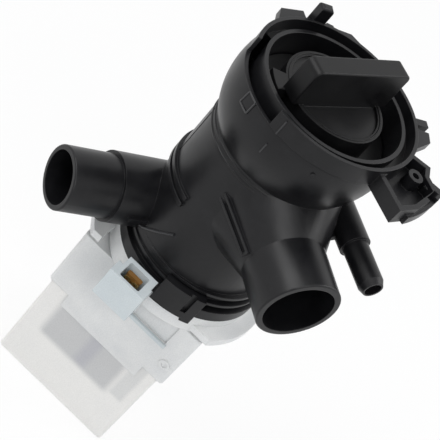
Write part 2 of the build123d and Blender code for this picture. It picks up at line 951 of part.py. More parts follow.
def motor_flange():
    """Neck, ears and pilot plate between the motor casing and the housing."""
    neck = disc(neck_radius, neck_z, flange_z)
    neck = chamfer(neck.edges().filter_by(GeomType.CIRCLE).sort_by(Axis.Z)[0], neck_edge)
    ears = disc(ear_radius, neck_z + ear_rise, neck_z + ear_rise + ear_thickness, ear_shift)
    strip = rounded_block(
        -ear_radius + ear_shift - ear_corner,
        ear_radius + ear_shift + ear_corner,
        -ear_half_width,
        ear_half_width,
        neck_z,
        flange_z,
        ear_corner,
    )
    ears = ears & strip
    ears -= rounded_block(
        ear_notch_low_x,
        ear_notch_high_x,
        -ear_half_width - ear_corner,
        ear_notch_end_y,
        neck_z,
        flange_z,
        ear_notch_corner,
    )
    solid = neck + on_motor(ears)
    solid -= disc(neck_radius - neck_wall, neck_z - overrun, plate_low_z)
    solid += disc(pilot_radius, plate_low_z, pilot_top_z)
    solid -= ring(chamber_seal_path, chamber_seal_section + chamber_seal_bed, chamber_seal_z)
    solid += tube(can_seat_radius + cradle_wall, can_seat_radius, can_flange_z, plate_low_z)
    solid -= disc(shaft_radius + shaft_window, plate_low_z - overrun, pilot_top_z + overrun)
    return solid


def chamber_seal():
    """Seal ring round the pilot."""
    return ring(chamber_seal_path, chamber_seal_section, chamber_seal_z)


# Connector places
socket_top_z = motor_length + socket_rise
hole_floor_z = socket_top_z - hole_depth
carrier_y = hole_back_y - carrier_setback
terminal_y = carrier_y - carrier_thickness - static_gap / 2 - terminal_thickness / 2
terminal_tip_z = socket_top_z - terminal_tip_drop
terminal_xs = (
    (hole_low_x + hole_high_x - terminal_pitch) / 2,
    (hole_low_x + hole_high_x + terminal_pitch) / 2,
)


def motor_frame():
    """Front half of the casing, with the face that carries the connector."""
    solid = rounded_block(
        casing_low_x,
        casing_high_x,
        -casing_half_y,
        casing_half_y,
        casing_split_z,
        motor_length,
        casing_corner,
    )
    inner_low_z = casing_split_z + casing_wall
    solid -= block(
        casing_low_x + casing_wall,
        casing_high_x - casing_wall,
        -casing_half_y + casing_wall,
        casing_half_y - casing_wall,
        inner_low_z,
        motor_length - casing_front_wall,
    )
    solid -= block(
        cover_low_x + cover_wall,
        cover_high_x - cover_wall,
        -cover_half_y + cover_wall,
        cover_half_y - cover_wall,
        casing_split_z - overrun,
        inner_low_z + overrun,
    )
    solid += block(
        face_skirt_low_x,
        face_skirt_high_x,
        -casing_half_y,
        -cover_half_y - static_gap / 2,
        face_skirt_z,
        casing_split_z + overrun,
    )
    boss = rod_y(
        face_boss_radius,
        -casing_half_y - face_boss_rise,
        -casing_half_y + casing_wall,
        face_boss_x,
        face_boss_z,
    )
    dimple = rod_y(
        face_boss_dimple,
        -casing_half_y - face_boss_rise - overrun,
        -casing_half_y,
        face_boss_x,
        face_boss_z,
    )
    solid = solid + boss - dimple
    solid -= block(
        face_window_low_x,
        face_window_high_x,
        -casing_half_y - overrun,
        -casing_half_y + face_window_depth,
        face_window_low_z,
        face_window_high_z,
    )
    seat = can_seat_radius + cradle_wall + static_gap
    solid -= disc(seat, motor_length - casing_front_wall - overrun, motor_length + overrun)
    solid -= terminal_window(terminal_window_gap)
    return on_motor(solid)


def terminal_window(gap):
    """Slot through the printed face where both terminals pass, with room for the shell's tongue."""
    half_height = terminal_thickness / 2 + gap
    return block(
        terminal_xs[0] - terminal_width / 2 - gap,
        terminal_xs[-1] + terminal_width / 2 + gap,
        -casing_half_y - overrun,
        -casing_half_y + casing_wall + overrun,
        terminal_shelf_z - half_height,
        terminal_shelf_z + half_height,
    )


def rear_cover():
    """Translucent rear half of the casing, closed at the face that the pump stands on."""
    solid = rounded_block(
        cover_low_x,
        cover_high_x,
        -cover_half_y,
        cover_half_y,
        cover_foot_rise,
        casing_split_z,
        casing_corner,
    )
    solid += block(
        cover_foot_low_x,
        cover_foot_high_x,
        -cover_half_y + cover_foot_inset,
        cover_half_y - cover_foot_inset,
        0,
        cover_foot_rise + cover_wall,
    )
    solid -= rounded_block(
        cover_low_x + cover_wall,
        cover_high_x - cover_wall,
        -cover_half_y + cover_wall,
        cover_half_y - cover_wall,
        cover_foot_rise + cover_wall,
        casing_split_z + overrun,
        casing_corner - cover_wall,
    )
    floor_z = cover_foot_rise + cover_wall
    for x, y in rivet_places():
        inner = rivet_head_radius + moving_gap
        solid += tube(rivet_head_radius + cradle_wall, inner, floor_z, core_low_z, x, y)
    for count in range(vent_slot_count):
        middle = (count - (vent_slot_count - 1) / 2) * vent_slot_pitch
        solid -= block(
            middle - vent_slot_width / 2,
            middle + vent_slot_width / 2,
            cover_half_y - cover_wall - overrun,
            cover_half_y + overrun,
            floor_z + cradle_wall,
            floor_z + cradle_wall + vent_slot_length,
        )
    return on_motor(solid)


def connector_shell():
    """Gusseted socket block on the printed face, open towards the filter, with its pad and ledge."""
    skin_y = -casing_half_y - static_gap / 2
    outline = Polyline(
        (skin_y, gusset_low_z),
        (socket_front_y, gusset_front_z),
        (socket_front_y, socket_top_z),
        (socket_back_y, socket_top_z),
        (socket_back_y, motor_length),
        (skin_y, motor_length),
        close=True,
    )
    profile = Plane.YZ * make_face(outline)
    solid = Pos(socket_low_x, 0, 0) * extrude(profile, socket_high_x - socket_low_x)
    solid += block(
        pad_low_x,
        pad_high_x,
        socket_front_y,
        socket_front_y + pad_thickness,
        gusset_front_z,
        socket_top_z,
    )
    solid += block(
        pad_low_x,
        ledge_high_x,
        skin_y - ledge_reach,
        skin_y,
        ledge_low_z,
        ledge_low_z + ledge_height,
    )
    solid += terminal_window(terminal_window_gap / 2) & block(
        socket_low_x, socket_high_x, skin_y, skin_y + gusset_tongue, gusset_low_z, motor_length
    )
    solid -= rounded_block(
        hole_low_x, hole_high_x, hole_front_y, hole_back_y, hole_floor_z, socket_top_z + overrun, hole_corner
    )
    for x in terminal_xs:
        solid -= terminal_strip(x, static_gap / 2)
    return on_motor(solid)


def terminal_strip(x, gap):
    """Bent strip of one terminal, grown by a gap all round: tab, shelf and tail."""
    half_width = terminal_width / 2 + gap
    half = terminal_thickness / 2 + gap
    low_x = x - half_width
    high_x = x + half_width
    shelf_low = terminal_shelf_z - half
    shelf_high = terminal_shelf_z + half
    solid = block(low_x, high_x, terminal_y - half, terminal_y + half, shelf_low, terminal_tip_z)
    solid += block(low_x, high_x, terminal_y - half, terminal_foot_y + half, shelf_low, shelf_high)
    tail_z = tower_top_z - terminal_tail
    solid += block(low_x, high_x, terminal_foot_y - half, terminal_foot_y + half, tail_z, shelf_high)
    return solid


def terminal(x):
    """Brass terminal from its tab in the socket to the bobbin."""
    solid = terminal_strip(x, 0)
    corners = solid.edges().filter_by(Axis.Y).sort_by(Axis.Z)[-2:]
    solid = chamfer(corners, terminal_chamfer)
    low_y = terminal_y - terminal_thickness
    high_y = terminal_y + terminal_thickness
    solid -= rod_y(terminal_hole_radius, low_y, high_y, x, terminal_tip_z - terminal_width / 2)
    return on_motor(solid)


def terminal_carrier():
    """Brown block behind the two tabs in the socket."""
    solid = rounded_block(
        hole_low_x + carrier_margin,
        hole_high_x - carrier_margin,
        carrier_y - carrier_thickness,
        carrier_y,
        hole_floor_z,
        socket_top_z - carrier_drop,
        carrier_corner,
    )
    return on_motor(solid)


# Bobbin places along the casing's X axis
bobbin_low_x = core_low_x + yoke_thickness + bobbin_slack
bobbin_high_x = pole_low_x - bobbin_slack
leg_middle_y = (core_half_y + leg_inner_y) / 2
leg_half_y = (core_half_y - leg_inner_y) / 2
core_high_z = core_low_z + core_stack
sleeve_half_y = leg_half_y + bobbin_slack + bobbin_wall
sleeve_low_z = core_low_z - bobbin_slack - bobbin_wall
sleeve_high_z = core_high_z + bobbin_slack + bobbin_wall
coil_half_y = sleeve_half_y + coil_thickness
coil_low_z = sleeve_low_z - coil_thickness
coil_high_z = sleeve_high_z + coil_thickness
tower_low_z = coil_high_z + static_gap


def stator_core():
    """Laminated U-shaped core with its two poles round the rotor."""
    solid = block(core_low_x, core_high_x, -core_half_y, core_half_y, core_low_z, core_high_z)
    low = core_low_z - overrun
    high = core_high_z + overrun
    solid -= block(core_low_x + yoke_thickness, pole_low_x, -leg_inner_y, leg_inner_y, low, high)
    solid -= disc(pole_bore_radius, low, high)
    solid -= block(pole_low_x - overrun, core_high_x + overrun, -pole_gap / 2, pole_gap / 2, low, high)
    for x, y in rivet_places():
        solid -= disc(rivet_radius, low, high, x, y)
    return on_motor(solid)


def rivet_places():
    """Places of the rivets in the core's corners."""
    places = []
    for x in (core_low_x + rivet_inset, core_high_x - rivet_inset):
        for y in (-core_half_y + rivet_inset, core_half_y - rivet_inset):
            places.append((x, y))
    return places


def core_rivets():
    """Rivets that hold the laminations together."""
    rivets = []
    for x, y in rivet_places():
        pin = disc(rivet_radius - rivet_clearance, core_low_z, core_high_z, x, y)
        low_head = disc(rivet_head_radius, core_low_z - rivet_head_height, core_low_z, x, y)
        high_head = disc(rivet_head_radius, core_high_z, core_high_z + rivet_head_height, x, y)
        rivets.append(on_motor(pin + low_head + high_head))
    return Compound(children=rivets)


def bobbin(side):
    """Plastic former round one leg of the core; the one by the face carries the terminals."""
    middle_y = side * leg_middle_y
    low_side = middle_y - sleeve_half_y
    high_side = middle_y + sleeve_half_y
    solid = block(bobbin_low_x, bobbin_high_x, low_side, high_side, sleeve_low_z, sleeve_high_z)
    reach = coil_thickness + coil_flange_reach
    for low in (bobbin_low_x, bobbin_high_x - bobbin_flange_wall):
        solid += block(
            low,
            low + bobbin_flange_wall,
            low_side - reach,
            high_side + reach,
            sleeve_low_z - reach,
            sleeve_high_z + reach,
        )
    if side < 0:
        low_x = terminal_xs[0] - terminal_width / 2 - bobbin_wall
        low_y = terminal_foot_y - bobbin_tower_depth / 2
        high_y = terminal_foot_y + bobbin_tower_depth / 2
        arm_z = tower_top_z - terminal_tail - bobbin_wall
        foot_x = bobbin_high_x - bobbin_tower_width
        solid += block(foot_x, bobbin_high_x, low_y, high_y, tower_low_z, tower_top_z)
        high_x = terminal_xs[-1] + terminal_width / 2 + bobbin_wall
        solid += block(min(low_x, foot_x), high_x, low_y, high_y, arm_z, tower_top_z)
        for x in terminal_xs:
            solid -= terminal_strip(x, 0)
    leg_half = leg_half_y + bobbin_slack
    solid -= block(
        bobbin_low_x - overrun,
        bobbin_high_x + overrun,
        middle_y - leg_half,
        middle_y + leg_half,
        core_low_z - bobbin_slack,
        core_high_z + bobbin_slack,
    )
    return on_motor(solid)


def coil(side):
    """Copper winding on one bobbin, drawn as its outer shape under its tape."""
    middle_y = side * leg_middle_y
    low_x = bobbin_low_x + bobbin_flange_wall
    high_x = bobbin_high_x - bobbin_flange_wall
    solid = block(low_x, high_x, middle_y - coil_half_y, middle_y + coil_half_y, coil_low_z, coil_high_z)
    solid = fillet(solid.edges().filter_by(Axis.X), coil_thickness / 2)
    solid -= block(
        low_x - overrun,
        high_x + overrun,
        middle_y - sleeve_half_y,
        middle_y + sleeve_half_y,
        sleeve_low_z,
        sleeve_high_z,
    )
    return on_motor(solid)


def thermal_cutout():
    """Thermal cutout lying on the winding away from the face."""
    middle_x = (bobbin_low_x + bobbin_high_x) / 2
    solid = block(
        middle_x - cutout_length / 2,
        middle_x + cutout_length / 2,
        leg_middle_y - cutout_width / 2,
        leg_middle_y + cutout_width / 2,
        coil_high_z,
        coil_high_z + cutout_thickness,
    )
    return on_motor(solid)


can_inner = can_radius - can_wall
rear_bearing_z = can_bottom_z + can_bottom_wall
rear_washer_z = rear_bearing_z + bearing_length + moving_gap
front_washer_z = front_bearing_z - moving_gap - washer_thickness


def rotor_can():
    """Thin closed tube that keeps the water away from the stator."""
    solid = disc(can_radius, can_bottom_z, plate_low_z)
    solid += disc(can_seat_radius - static_gap, can_flange_z, plate_low_z)
    return solid - disc(can_inner, can_bottom_z + can_bottom_wall, plate_low_z + overrun)


def bearing(low):
    """Plain bush for the shaft."""
    return tube(bearing_radius, shaft_radius + bearing_clearance, low, low + bearing_length)


def bearing_holder(low):
    """Soft ring that centres a bush in the can."""
    solid = tube(can_inner - bearing_clearance, bearing_radius, low, low + bearing_length)
    core = disc(bearing_radius + holder_rib, low, low + bearing_length)
    half = holder_slot_half_width
    slot_low = low + holder_slot_start
    slot = block(-can_radius, can_radius, -half, half, slot_low, low + bearing_length + overrun)
    for turn in (0, 90):
        solid -= Rot(0, 0, turn) * slot - core
    return solid


def shaft():
    """Ground steel shaft of the rotor."""
    return disc(shaft_radius, shaft_low_z, shaft_high_z)


def rotor_magnet():
    """Ring magnet of the rotor."""
    return tube(magnet_radius, carrier_radius, magnet_low_z, magnet_low_z + magnet_length)


def rotor_carrier():
    """Plastic core that ties the magnet to the shaft."""
    return tube(carrier_radius, shaft_radius, rear_washer_z + washer_thickness, front_washer_z)


def thrust_washer(low):
    """Washer between the rotor and a bearing."""
    return tube(washer_radius, shaft_radius, low, low + washer_thickness)


def drive_dog():
    """Driver on the shaft whose arm pushes the impeller round after part of a turn."""
    solid = disc(dog_hub_radius, dog_low_z, dog_low_z + dog_height)
    half = dog_arm_width / 2
    solid += block(0, dog_arm_reach, -half, half, dog_low_z, dog_low_z + dog_height)
    return solid - disc(shaft_radius, dog_low_z - overrun, dog_low_z + dog_height + overrun)


drum_low_z = impeller_plate_z - impeller_drum_depth
drum_inner = impeller_drum_radius - impeller_drum_wall


def blade():
    """One curved blade, extruded from an arc of even thickness."""
    tip_radius = impeller_radius - blade_tip_inset
    middle = (blade_inner_radius + tip_radius) / 2
    half = blade_thickness / 2
    front = ThreePointArc((blade_inner_radius, half), (middle, blade_bow + half), (tip_radius, half))
    back = ThreePointArc((tip_radius, -half), (middle, blade_bow - half), (blade_inner_radius, -half))
    tip = Line((tip_radius, half), (tip_radius, -half))
    root = Line((blade_inner_radius, -half), (blade_inner_radius, half))
    face = make_face(front + tip + back + root)
    sunk = impeller_plate_thickness / 2
    return Pos(0, 0, impeller_plate_z + sunk) * extrude(face, blade_height + sunk)


def impeller():
    """Open impeller with a drum below it that holds the drive dog."""
    plate_top = impeller_plate_z + impeller_plate_thickness
    solid = disc(impeller_radius, impeller_plate_z, plate_top)
    solid += tube(impeller_drum_radius, drum_inner, drum_low_z, impeller_plate_z)
    hub_top = plate_top + impeller_hub_height - clip_thickness - clip_gap
    solid += disc(impeller_hub_radius, impeller_plate_z, hub_top)
    for count in range(impeller_blades):
        solid += Rot(0, 0, count * 360 / impeller_blades) * blade()
    start = 180 - impeller_stop_angle / 2
    solid += sector(
        drum_inner - impeller_stop_reach,
        drum_inner + overrun,
        start,
        start + impeller_stop_angle,
        drum_low_z,
        impeller_plate_z,
    )
    hole = shaft_radius + bearing_clearance
    return solid - disc(hole, impeller_plate_z - overrun, plate_top + blade_height + overrun)


def impeller_damper():
    """Rubber pads on both sides of the impeller's stop."""
    pads = []
    for start in (180 - impeller_stop_angle / 2 - damper_angle, 180 + impeller_stop_angle / 2):
        pads.append(
            sector(
                drum_inner - impeller_stop_reach,
                drum_inner,
                start,
                start + damper_angle,
                drum_low_z,
                impeller_plate_z,
            )
        )
    return Compound(children=pads)


def impeller_clip():
    """Push-on clip that keeps the impeller on the shaft."""
    low = impeller_plate_z + impeller_plate_thickness + impeller_hub_height - clip_thickness
    return tube(clip_radius, shaft_radius, low, low + clip_thickness)


pieces = {
    "filter_housing": filter_housing(),
    "cap_knob": cap_knob(),
    "cap_seal": cap_seal(),
    "hub_pin": hub_pin(),
    "strainer_basket": strainer_basket(),
    "motor_flange": motor_flange(),
    "chamber_seal": chamber_seal(),
    "motor_frame": motor_frame(),
    "rear_cover": rear_cover(),
    "connector_shell": connector_shell(),
    "terminal_carrier": terminal_carrier(),
    "terminal_line": terminal(terminal_xs[0]),
    "terminal_neutral": terminal(terminal_xs[1]),
    "stator_core": stator_core(),
    "core_rivets": core_rivets(),
    "bobbin_front": bobbin(-1),
    "bobbin_back": bobbin(1),
    "coil_front": coil(-1),
    "coil_back": coil(1),
    "thermal_cutout": thermal_cutout(),
    "rotor_can": rotor_can(),
    "front_bearing": bearing(front_bearing_z),
    "rear_bearing": bearing(rear_bearing_z),
    "front_bearing_holder": bearing_holder(front_bearing_z),
    "rear_bearing_holder": bearing_holder(rear_bearing_z),
    "shaft": shaft(),
    "rotor_magnet": rotor_magnet(),
    "rotor_carrier": rotor_carrier(),
    "front_thrust_washer": thrust_washer(front_washer_z),
    "rear_thrust_washer": thrust_washer(rear_washer_z),
    "drive_dog": drive_dog(),
    "impeller": impeller(),
    "impeller_damper": impeller_damper(),
    "impeller_clip": impeller_clip(),
}

os.makedirs("parts", exist_ok=True)
for name, piece in pieces.items():
    export_step(piece, f"parts/{name}.step")
    print(name, "volume", round(sum(solid.volume for solid in piece.solids())))
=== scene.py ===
import json
import logging
import math
from dataclasses import dataclass
from enum import Enum

import bpy
from mathutils import Matrix, Vector

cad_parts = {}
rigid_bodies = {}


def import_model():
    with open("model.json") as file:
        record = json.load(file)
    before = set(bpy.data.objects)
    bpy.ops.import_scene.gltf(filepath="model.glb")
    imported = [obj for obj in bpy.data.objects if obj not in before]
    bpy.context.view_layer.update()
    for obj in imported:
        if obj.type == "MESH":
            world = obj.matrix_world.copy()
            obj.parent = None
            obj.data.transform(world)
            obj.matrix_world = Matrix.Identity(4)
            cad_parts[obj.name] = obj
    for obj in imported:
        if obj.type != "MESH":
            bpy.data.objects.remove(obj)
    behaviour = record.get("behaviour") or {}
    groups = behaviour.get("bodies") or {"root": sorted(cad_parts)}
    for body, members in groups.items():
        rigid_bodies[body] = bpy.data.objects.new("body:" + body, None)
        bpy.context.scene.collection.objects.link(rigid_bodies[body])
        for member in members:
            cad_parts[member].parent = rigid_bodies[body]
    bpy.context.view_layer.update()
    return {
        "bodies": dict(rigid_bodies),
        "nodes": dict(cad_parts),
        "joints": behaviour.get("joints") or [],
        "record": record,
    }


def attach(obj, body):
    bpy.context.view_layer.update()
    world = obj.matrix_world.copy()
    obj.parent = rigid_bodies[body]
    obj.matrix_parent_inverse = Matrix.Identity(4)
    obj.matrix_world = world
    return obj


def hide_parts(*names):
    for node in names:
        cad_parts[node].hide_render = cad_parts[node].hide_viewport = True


log = logging.getLogger("drain_pump")

MM = 0.001
CASING_TURN = 41.8
SMOOTH_ANGLE = 35.0
MERGE_DISTANCE = 1e-6

# Length of one band of the wave texture at scale 1
BAND_AT_SCALE_ONE = math.pi / 10

Place = tuple[float, float, float]
Colour = tuple[float, float, float]


class Pattern(Enum):
    """Large pattern that a finish carries under its fine grain."""

    PLAIN = "plain"
    BANDS_Z = "bands along z"
    TURNED = "turned rings"


@dataclass(frozen=True)
class Ramp:
    """Straight or smooth map from one span of values to another."""

    low: float
    high: float
    out_low: float = 0.0
    out_high: float = 1.0
    smooth: bool = False

    def mapped(self, made: bpy.types.Material, value: bpy.types.NodeSocket) -> bpy.types.NodeSocket:
        """Adds the map to a material and returns its result."""
        node = made.node_tree.nodes.new("ShaderNodeMapRange")
        if self.smooth:
            node.interpolation_type = "SMOOTHSTEP"
        node.inputs["From Min"].default_value = self.low
        node.inputs["From Max"].default_value = self.high
        node.inputs["To Min"].default_value = self.out_low
        node.inputs["To Max"].default_value = self.out_high
        made.node_tree.links.new(value, node.inputs["Value"])
        return node.outputs["Result"]


def blended(
    made: bpy.types.Material,
    share: bpy.types.NodeSocket,
    first: Colour | bpy.types.NodeSocket,
    second: Colour,
    blend: str = "MIX",
) -> bpy.types.NodeSocket:
    """Adds a mix of two colours.

    Args:
        made: Material that gets the node.
        share: How much of the second colour shows.
        first: Plain colour or the result of another node.
        second: Plain colour laid over the first.
        blend: Blender's name for the way they mix.

    Returns:
        The mixed colour.
    """
    node = made.node_tree.nodes.new("ShaderNodeMix")
    node.data_type = "RGBA"
    node.blend_type = blend
    links = made.node_tree.links
    links.new(share, node.inputs["Factor"])
    under, over = [socket for socket in node.inputs if socket.type == "RGBA"]
    if isinstance(first, tuple):
        under.default_value = (*first, 1)
    else:
        links.new(first, under)
    over.default_value = (*second, 1)
    return next(socket for socket in node.outputs if socket.type == "RGBA")


@dataclass(frozen=True)
class Shadow:
    """Painted shade: a soft darker place in a surface's colour, standing in for the shadow of an inner piece
    seen through a thin wall, in the casing's own axes.

    Lengths are in millimetres.
    """

    low_x: float
    high_x: float
    low_z: float
    high_z: float
    softness: float
    tint: Colour

    def shaded(
        self,
        made: bpy.types.Material,
        place: bpy.types.NodeSocket,
        colour: bpy.types.NodeSocket,
    ) -> bpy.types.NodeSocket:
        """Paints the shade: multiplies the colour by the tint inside the place.

        Args:
            made: Material that gets the nodes.
            place: Coordinates to read.
            colour: Colour before the shadow.

        Returns:
            The shaded colour.
        """
        nodes = made.node_tree.nodes
        links = made.node_tree.links
        turn = nodes.new("ShaderNodeMapping")
        turn.inputs["Rotation"].default_value = (0, 0, -math.radians(CASING_TURN))
        links.new(place, turn.inputs["Vector"])
        axes = nodes.new("ShaderNodeSeparateXYZ")
        links.new(turn.outputs["Vector"], axes.inputs["Vector"])
        share = None
        for axis, edge, sign in (
            ("X", self.low_x, 1),
            ("X", self.high_x, -1),
            ("Z", self.low_z, 1),
            ("Z", self.high_z, -1),
        ):
            reach = sign * self.softness
            ramp = Ramp((edge - reach) * MM, (edge + reach) * MM, smooth=True)
            inside = ramp.mapped(made, axes.outputs[axis])
            if share is None:
                share = inside
                continue
            both = nodes.new("ShaderNodeMath")
            both.operation = "MULTIPLY"
            links.new(share, both.inputs[0])
            links.new(inside, both.inputs[1])
            share = both.outputs["Value"]
        return blended(made, share, colour, self.tint, "MULTIPLY")


@dataclass(frozen=True)
class Finish:
    """Procedural finish of one material, read in Object coordinates.

    Lengths are in millimetres; a bump height is the depth of the relief it stands for.
    """

    name: str
    colour: Colour
    second_colour: Colour
    roughness: float
    roughness_spread: float = 0.06
    metallic: float = 0.0
    transmission: float = 0.0
    subsurface: float = 0.0
    ior: float = 1.5
    specular: float = 0.5
    coat: float = 0.0
    sheen: float = 0.0
    mottle_size: float = 14.0
    mottle_detail: float = 5.0
    mottle_roughness: float = 0.6
    mottle_span: Ramp = Ramp(0.35, 0.65)
    grain_size: float = 0.5
    grain_height: float = 0.02
    grain_detail: float = 3.0
    grain_roughness: float = 0.55
    grain_tint: Ramp = Ramp(0.3, 0.7, 0.93, 1.05)
    edge_radius: float = 0.4
    edge_samples: int = 4
    wear: float = 0.0
    wear_patch_size: float = 6.0
    wear_detail: float = 4.0
    wear_roughness: float = 0.7
    wear_span: tuple[float, float] = (0.52, 0.75)
    wear_gain: float = 1.8
    wear_lift: float = 0.012
    pattern: Pattern = Pattern.PLAIN
    pattern_size: float = 1.0
    pattern_height: float = 0.05
    pattern_tint: float = 0.5
    pattern_distortion: float = 0.15
    pattern_detail: float = 2.0
    # Painted shade laid over the colour, each a soft darker rectangle
    shadows: tuple[Shadow, ...] = ()
    scatter_depth: float = 3.0
    roughness_span: tuple[float, float] = (0.3, 0.7)

    def material(self) -> bpy.types.Material:
        """Builds the node material.

        Returns:
            The material, ready to be put in a slot.
        """
        made = bpy.data.materials.new(self.name)
        made.use_nodes = True
        nodes = made.node_tree.nodes
        links = made.node_tree.links
        shader = nodes["Principled BSDF"]
        place = nodes.new("ShaderNodeTexCoord").outputs["Object"]

        mottle = self._noise(made, place, self.mottle_size, self.mottle_detail, self.mottle_roughness)
        grain = self._noise(made, place, self.grain_size, self.grain_detail, self.grain_roughness)
        tint = blended(made, self.mottle_span.mapped(made, mottle), self.colour, self.second_colour)
        colour = self._scaled(made, tint, self.grain_tint.mapped(made, grain))

        bump = None
        if self.pattern is not Pattern.PLAIN:
            wave = self._wave(made, place)
            hollows = Ramp(0, 1, self.pattern_tint, 1).mapped(made, wave)
            colour = self._scaled(made, colour, hollows)
            bump = self._bump(made, wave, self.pattern_height, None)
        edge = nodes.new("ShaderNodeBevel")
        edge.samples = self.edge_samples
        edge.inputs["Radius"].default_value = self.edge_radius * MM
        if bump is not None:
            links.new(bump, edge.inputs["Normal"])
        fine = self._bump(made, grain, self.grain_height, edge.outputs["Normal"])
        links.new(fine, shader.inputs["Normal"])

        if self.wear > 0:
            colour = self._worn(made, place, colour)
        # Painted shade: each shadow darkens the colour inside its rectangle
        for shadow in self.shadows:
            colour = shadow.shaded(made, place, colour)
        links.new(colour, shader.inputs["Base Color"])

        smoothest = self.roughness - self.roughness_spread
        roughest = self.roughness + self.roughness_spread
        rough = Ramp(*self.roughness_span, smoothest, roughest).mapped(made, mottle)
        links.new(rough, shader.inputs["Roughness"])

        shader.inputs["Metallic"].default_value = self.metallic
        shader.inputs["IOR"].default_value = self.ior
        shader.inputs["Specular IOR Level"].default_value = self.specular
        shader.inputs["Transmission Weight"].default_value = self.transmission
        shader.inputs["Subsurface Weight"].default_value = self.subsurface
        shader.inputs["Subsurface Radius"].default_value = (1.0, 1.0, 1.0)
        shader.inputs["Subsurface Scale"].default_value = self.scatter_depth * MM
        shader.inputs["Coat Weight"].default_value = self.coat
        shader.inputs["Sheen Weight"].default_value = self.sheen
        return made

    def _noise(
        self,
        made: bpy.types.Material,
        place: bpy.types.NodeSocket,
        size: float,
        detail: float,
        roughness: float,
    ) -> bpy.types.NodeSocket:
        """Adds a noise texture.

        Args:
            made: Material that gets the node.
            place: Coordinates to read.
            size: Size of one blotch in millimetres.
            detail: Octaves of the noise.
            roughness: How strongly the finer octaves show.

        Returns:
            The noise value.
        """
        node = made.node_tree.nodes.new("ShaderNodeTexNoise")
        node.inputs["Scale"].default_value = 1 / (size * MM)
        node.inputs["Detail"].default_value = detail
        node.inputs["Roughness"].default_value = roughness
        made.node_tree.links.new(place, node.inputs["Vector"])
        return node.outputs["Fac"]

    def _scaled(
        self,
        made: bpy.types.Material,
        colour: bpy.types.NodeSocket,
        share: bpy.types.NodeSocket,
    ) -> bpy.types.NodeSocket:
        """Multiplies a colour by a value and returns it."""
        node = made.node_tree.nodes.new("ShaderNodeVectorMath")
        node.operation = "SCALE"
        made.node_tree.links.new(colour, node.inputs[0])
        made.node_tree.links.new(share, node.inputs["Scale"])
        return node.outputs["Vector"]

    def _wave(
        self, made: bpy.types.Material, place: bpy.types.NodeSocket
    ) -> bpy.types.NodeSocket:
        """Adds the finish's large pattern and returns its value."""
        node = made.node_tree.nodes.new("ShaderNodeTexWave")
        node.wave_profile = "SIN"
        if self.pattern is Pattern.TURNED:
            node.wave_type = "RINGS"
            node.rings_direction = "Z"
        else:
            node.bands_direction = "Z"
        node.inputs["Scale"].default_value = BAND_AT_SCALE_ONE / (self.pattern_size * MM)
        node.inputs["Distortion"].default_value = self.pattern_distortion
        node.inputs["Detail"].default_value = self.pattern_detail
        made.node_tree.links.new(place, node.inputs["Vector"])
        return node.outputs["Fac"]

    def _bump(
        self,
        made: bpy.types.Material,
        height: bpy.types.NodeSocket,
        relief: float,
        normal: bpy.types.NodeSocket | None,
    ) -> bpy.types.NodeSocket:
        """Adds relief.

        Args:
            made: Material that gets the node.
            height: Value from 0 to 1 over the surface.
            relief: Depth in millimetres between 0 and 1.
            normal: Normal to build on, if there is one.

        Returns:
            The bumped normal.
        """
        node = made.node_tree.nodes.new("ShaderNodeBump")
        node.inputs["Strength"].default_value = 1.0
        node.inputs["Distance"].default_value = relief * MM
        made.node_tree.links.new(height, node.inputs["Height"])
        if normal is not None:
            made.node_tree.links.new(normal, node.inputs["Normal"])
        return node.outputs["Normal"]

    def _worn(
        self,
        made: bpy.types.Material,
        place: bpy.types.NodeSocket,
        colour: bpy.types.NodeSocket,
    ) -> bpy.types.NodeSocket:
        """Lightens the surface in soft patches, where hands and tools have rubbed it.

        Args:
            made: Material that gets the nodes.
            place: Coordinates to read.
            colour: Colour before the wear.

        Returns:
            The worn colour.
        """
        patch = self._noise(made, place, self.wear_patch_size, self.wear_detail, self.wear_roughness)
        part = Ramp(*self.wear_span, 0, self.wear).mapped(made, patch)
        rubbed = tuple(min(1.0, value * self.wear_gain + self.wear_lift) for value in self.colour)
        return blended(made, part, colour, rubbed)


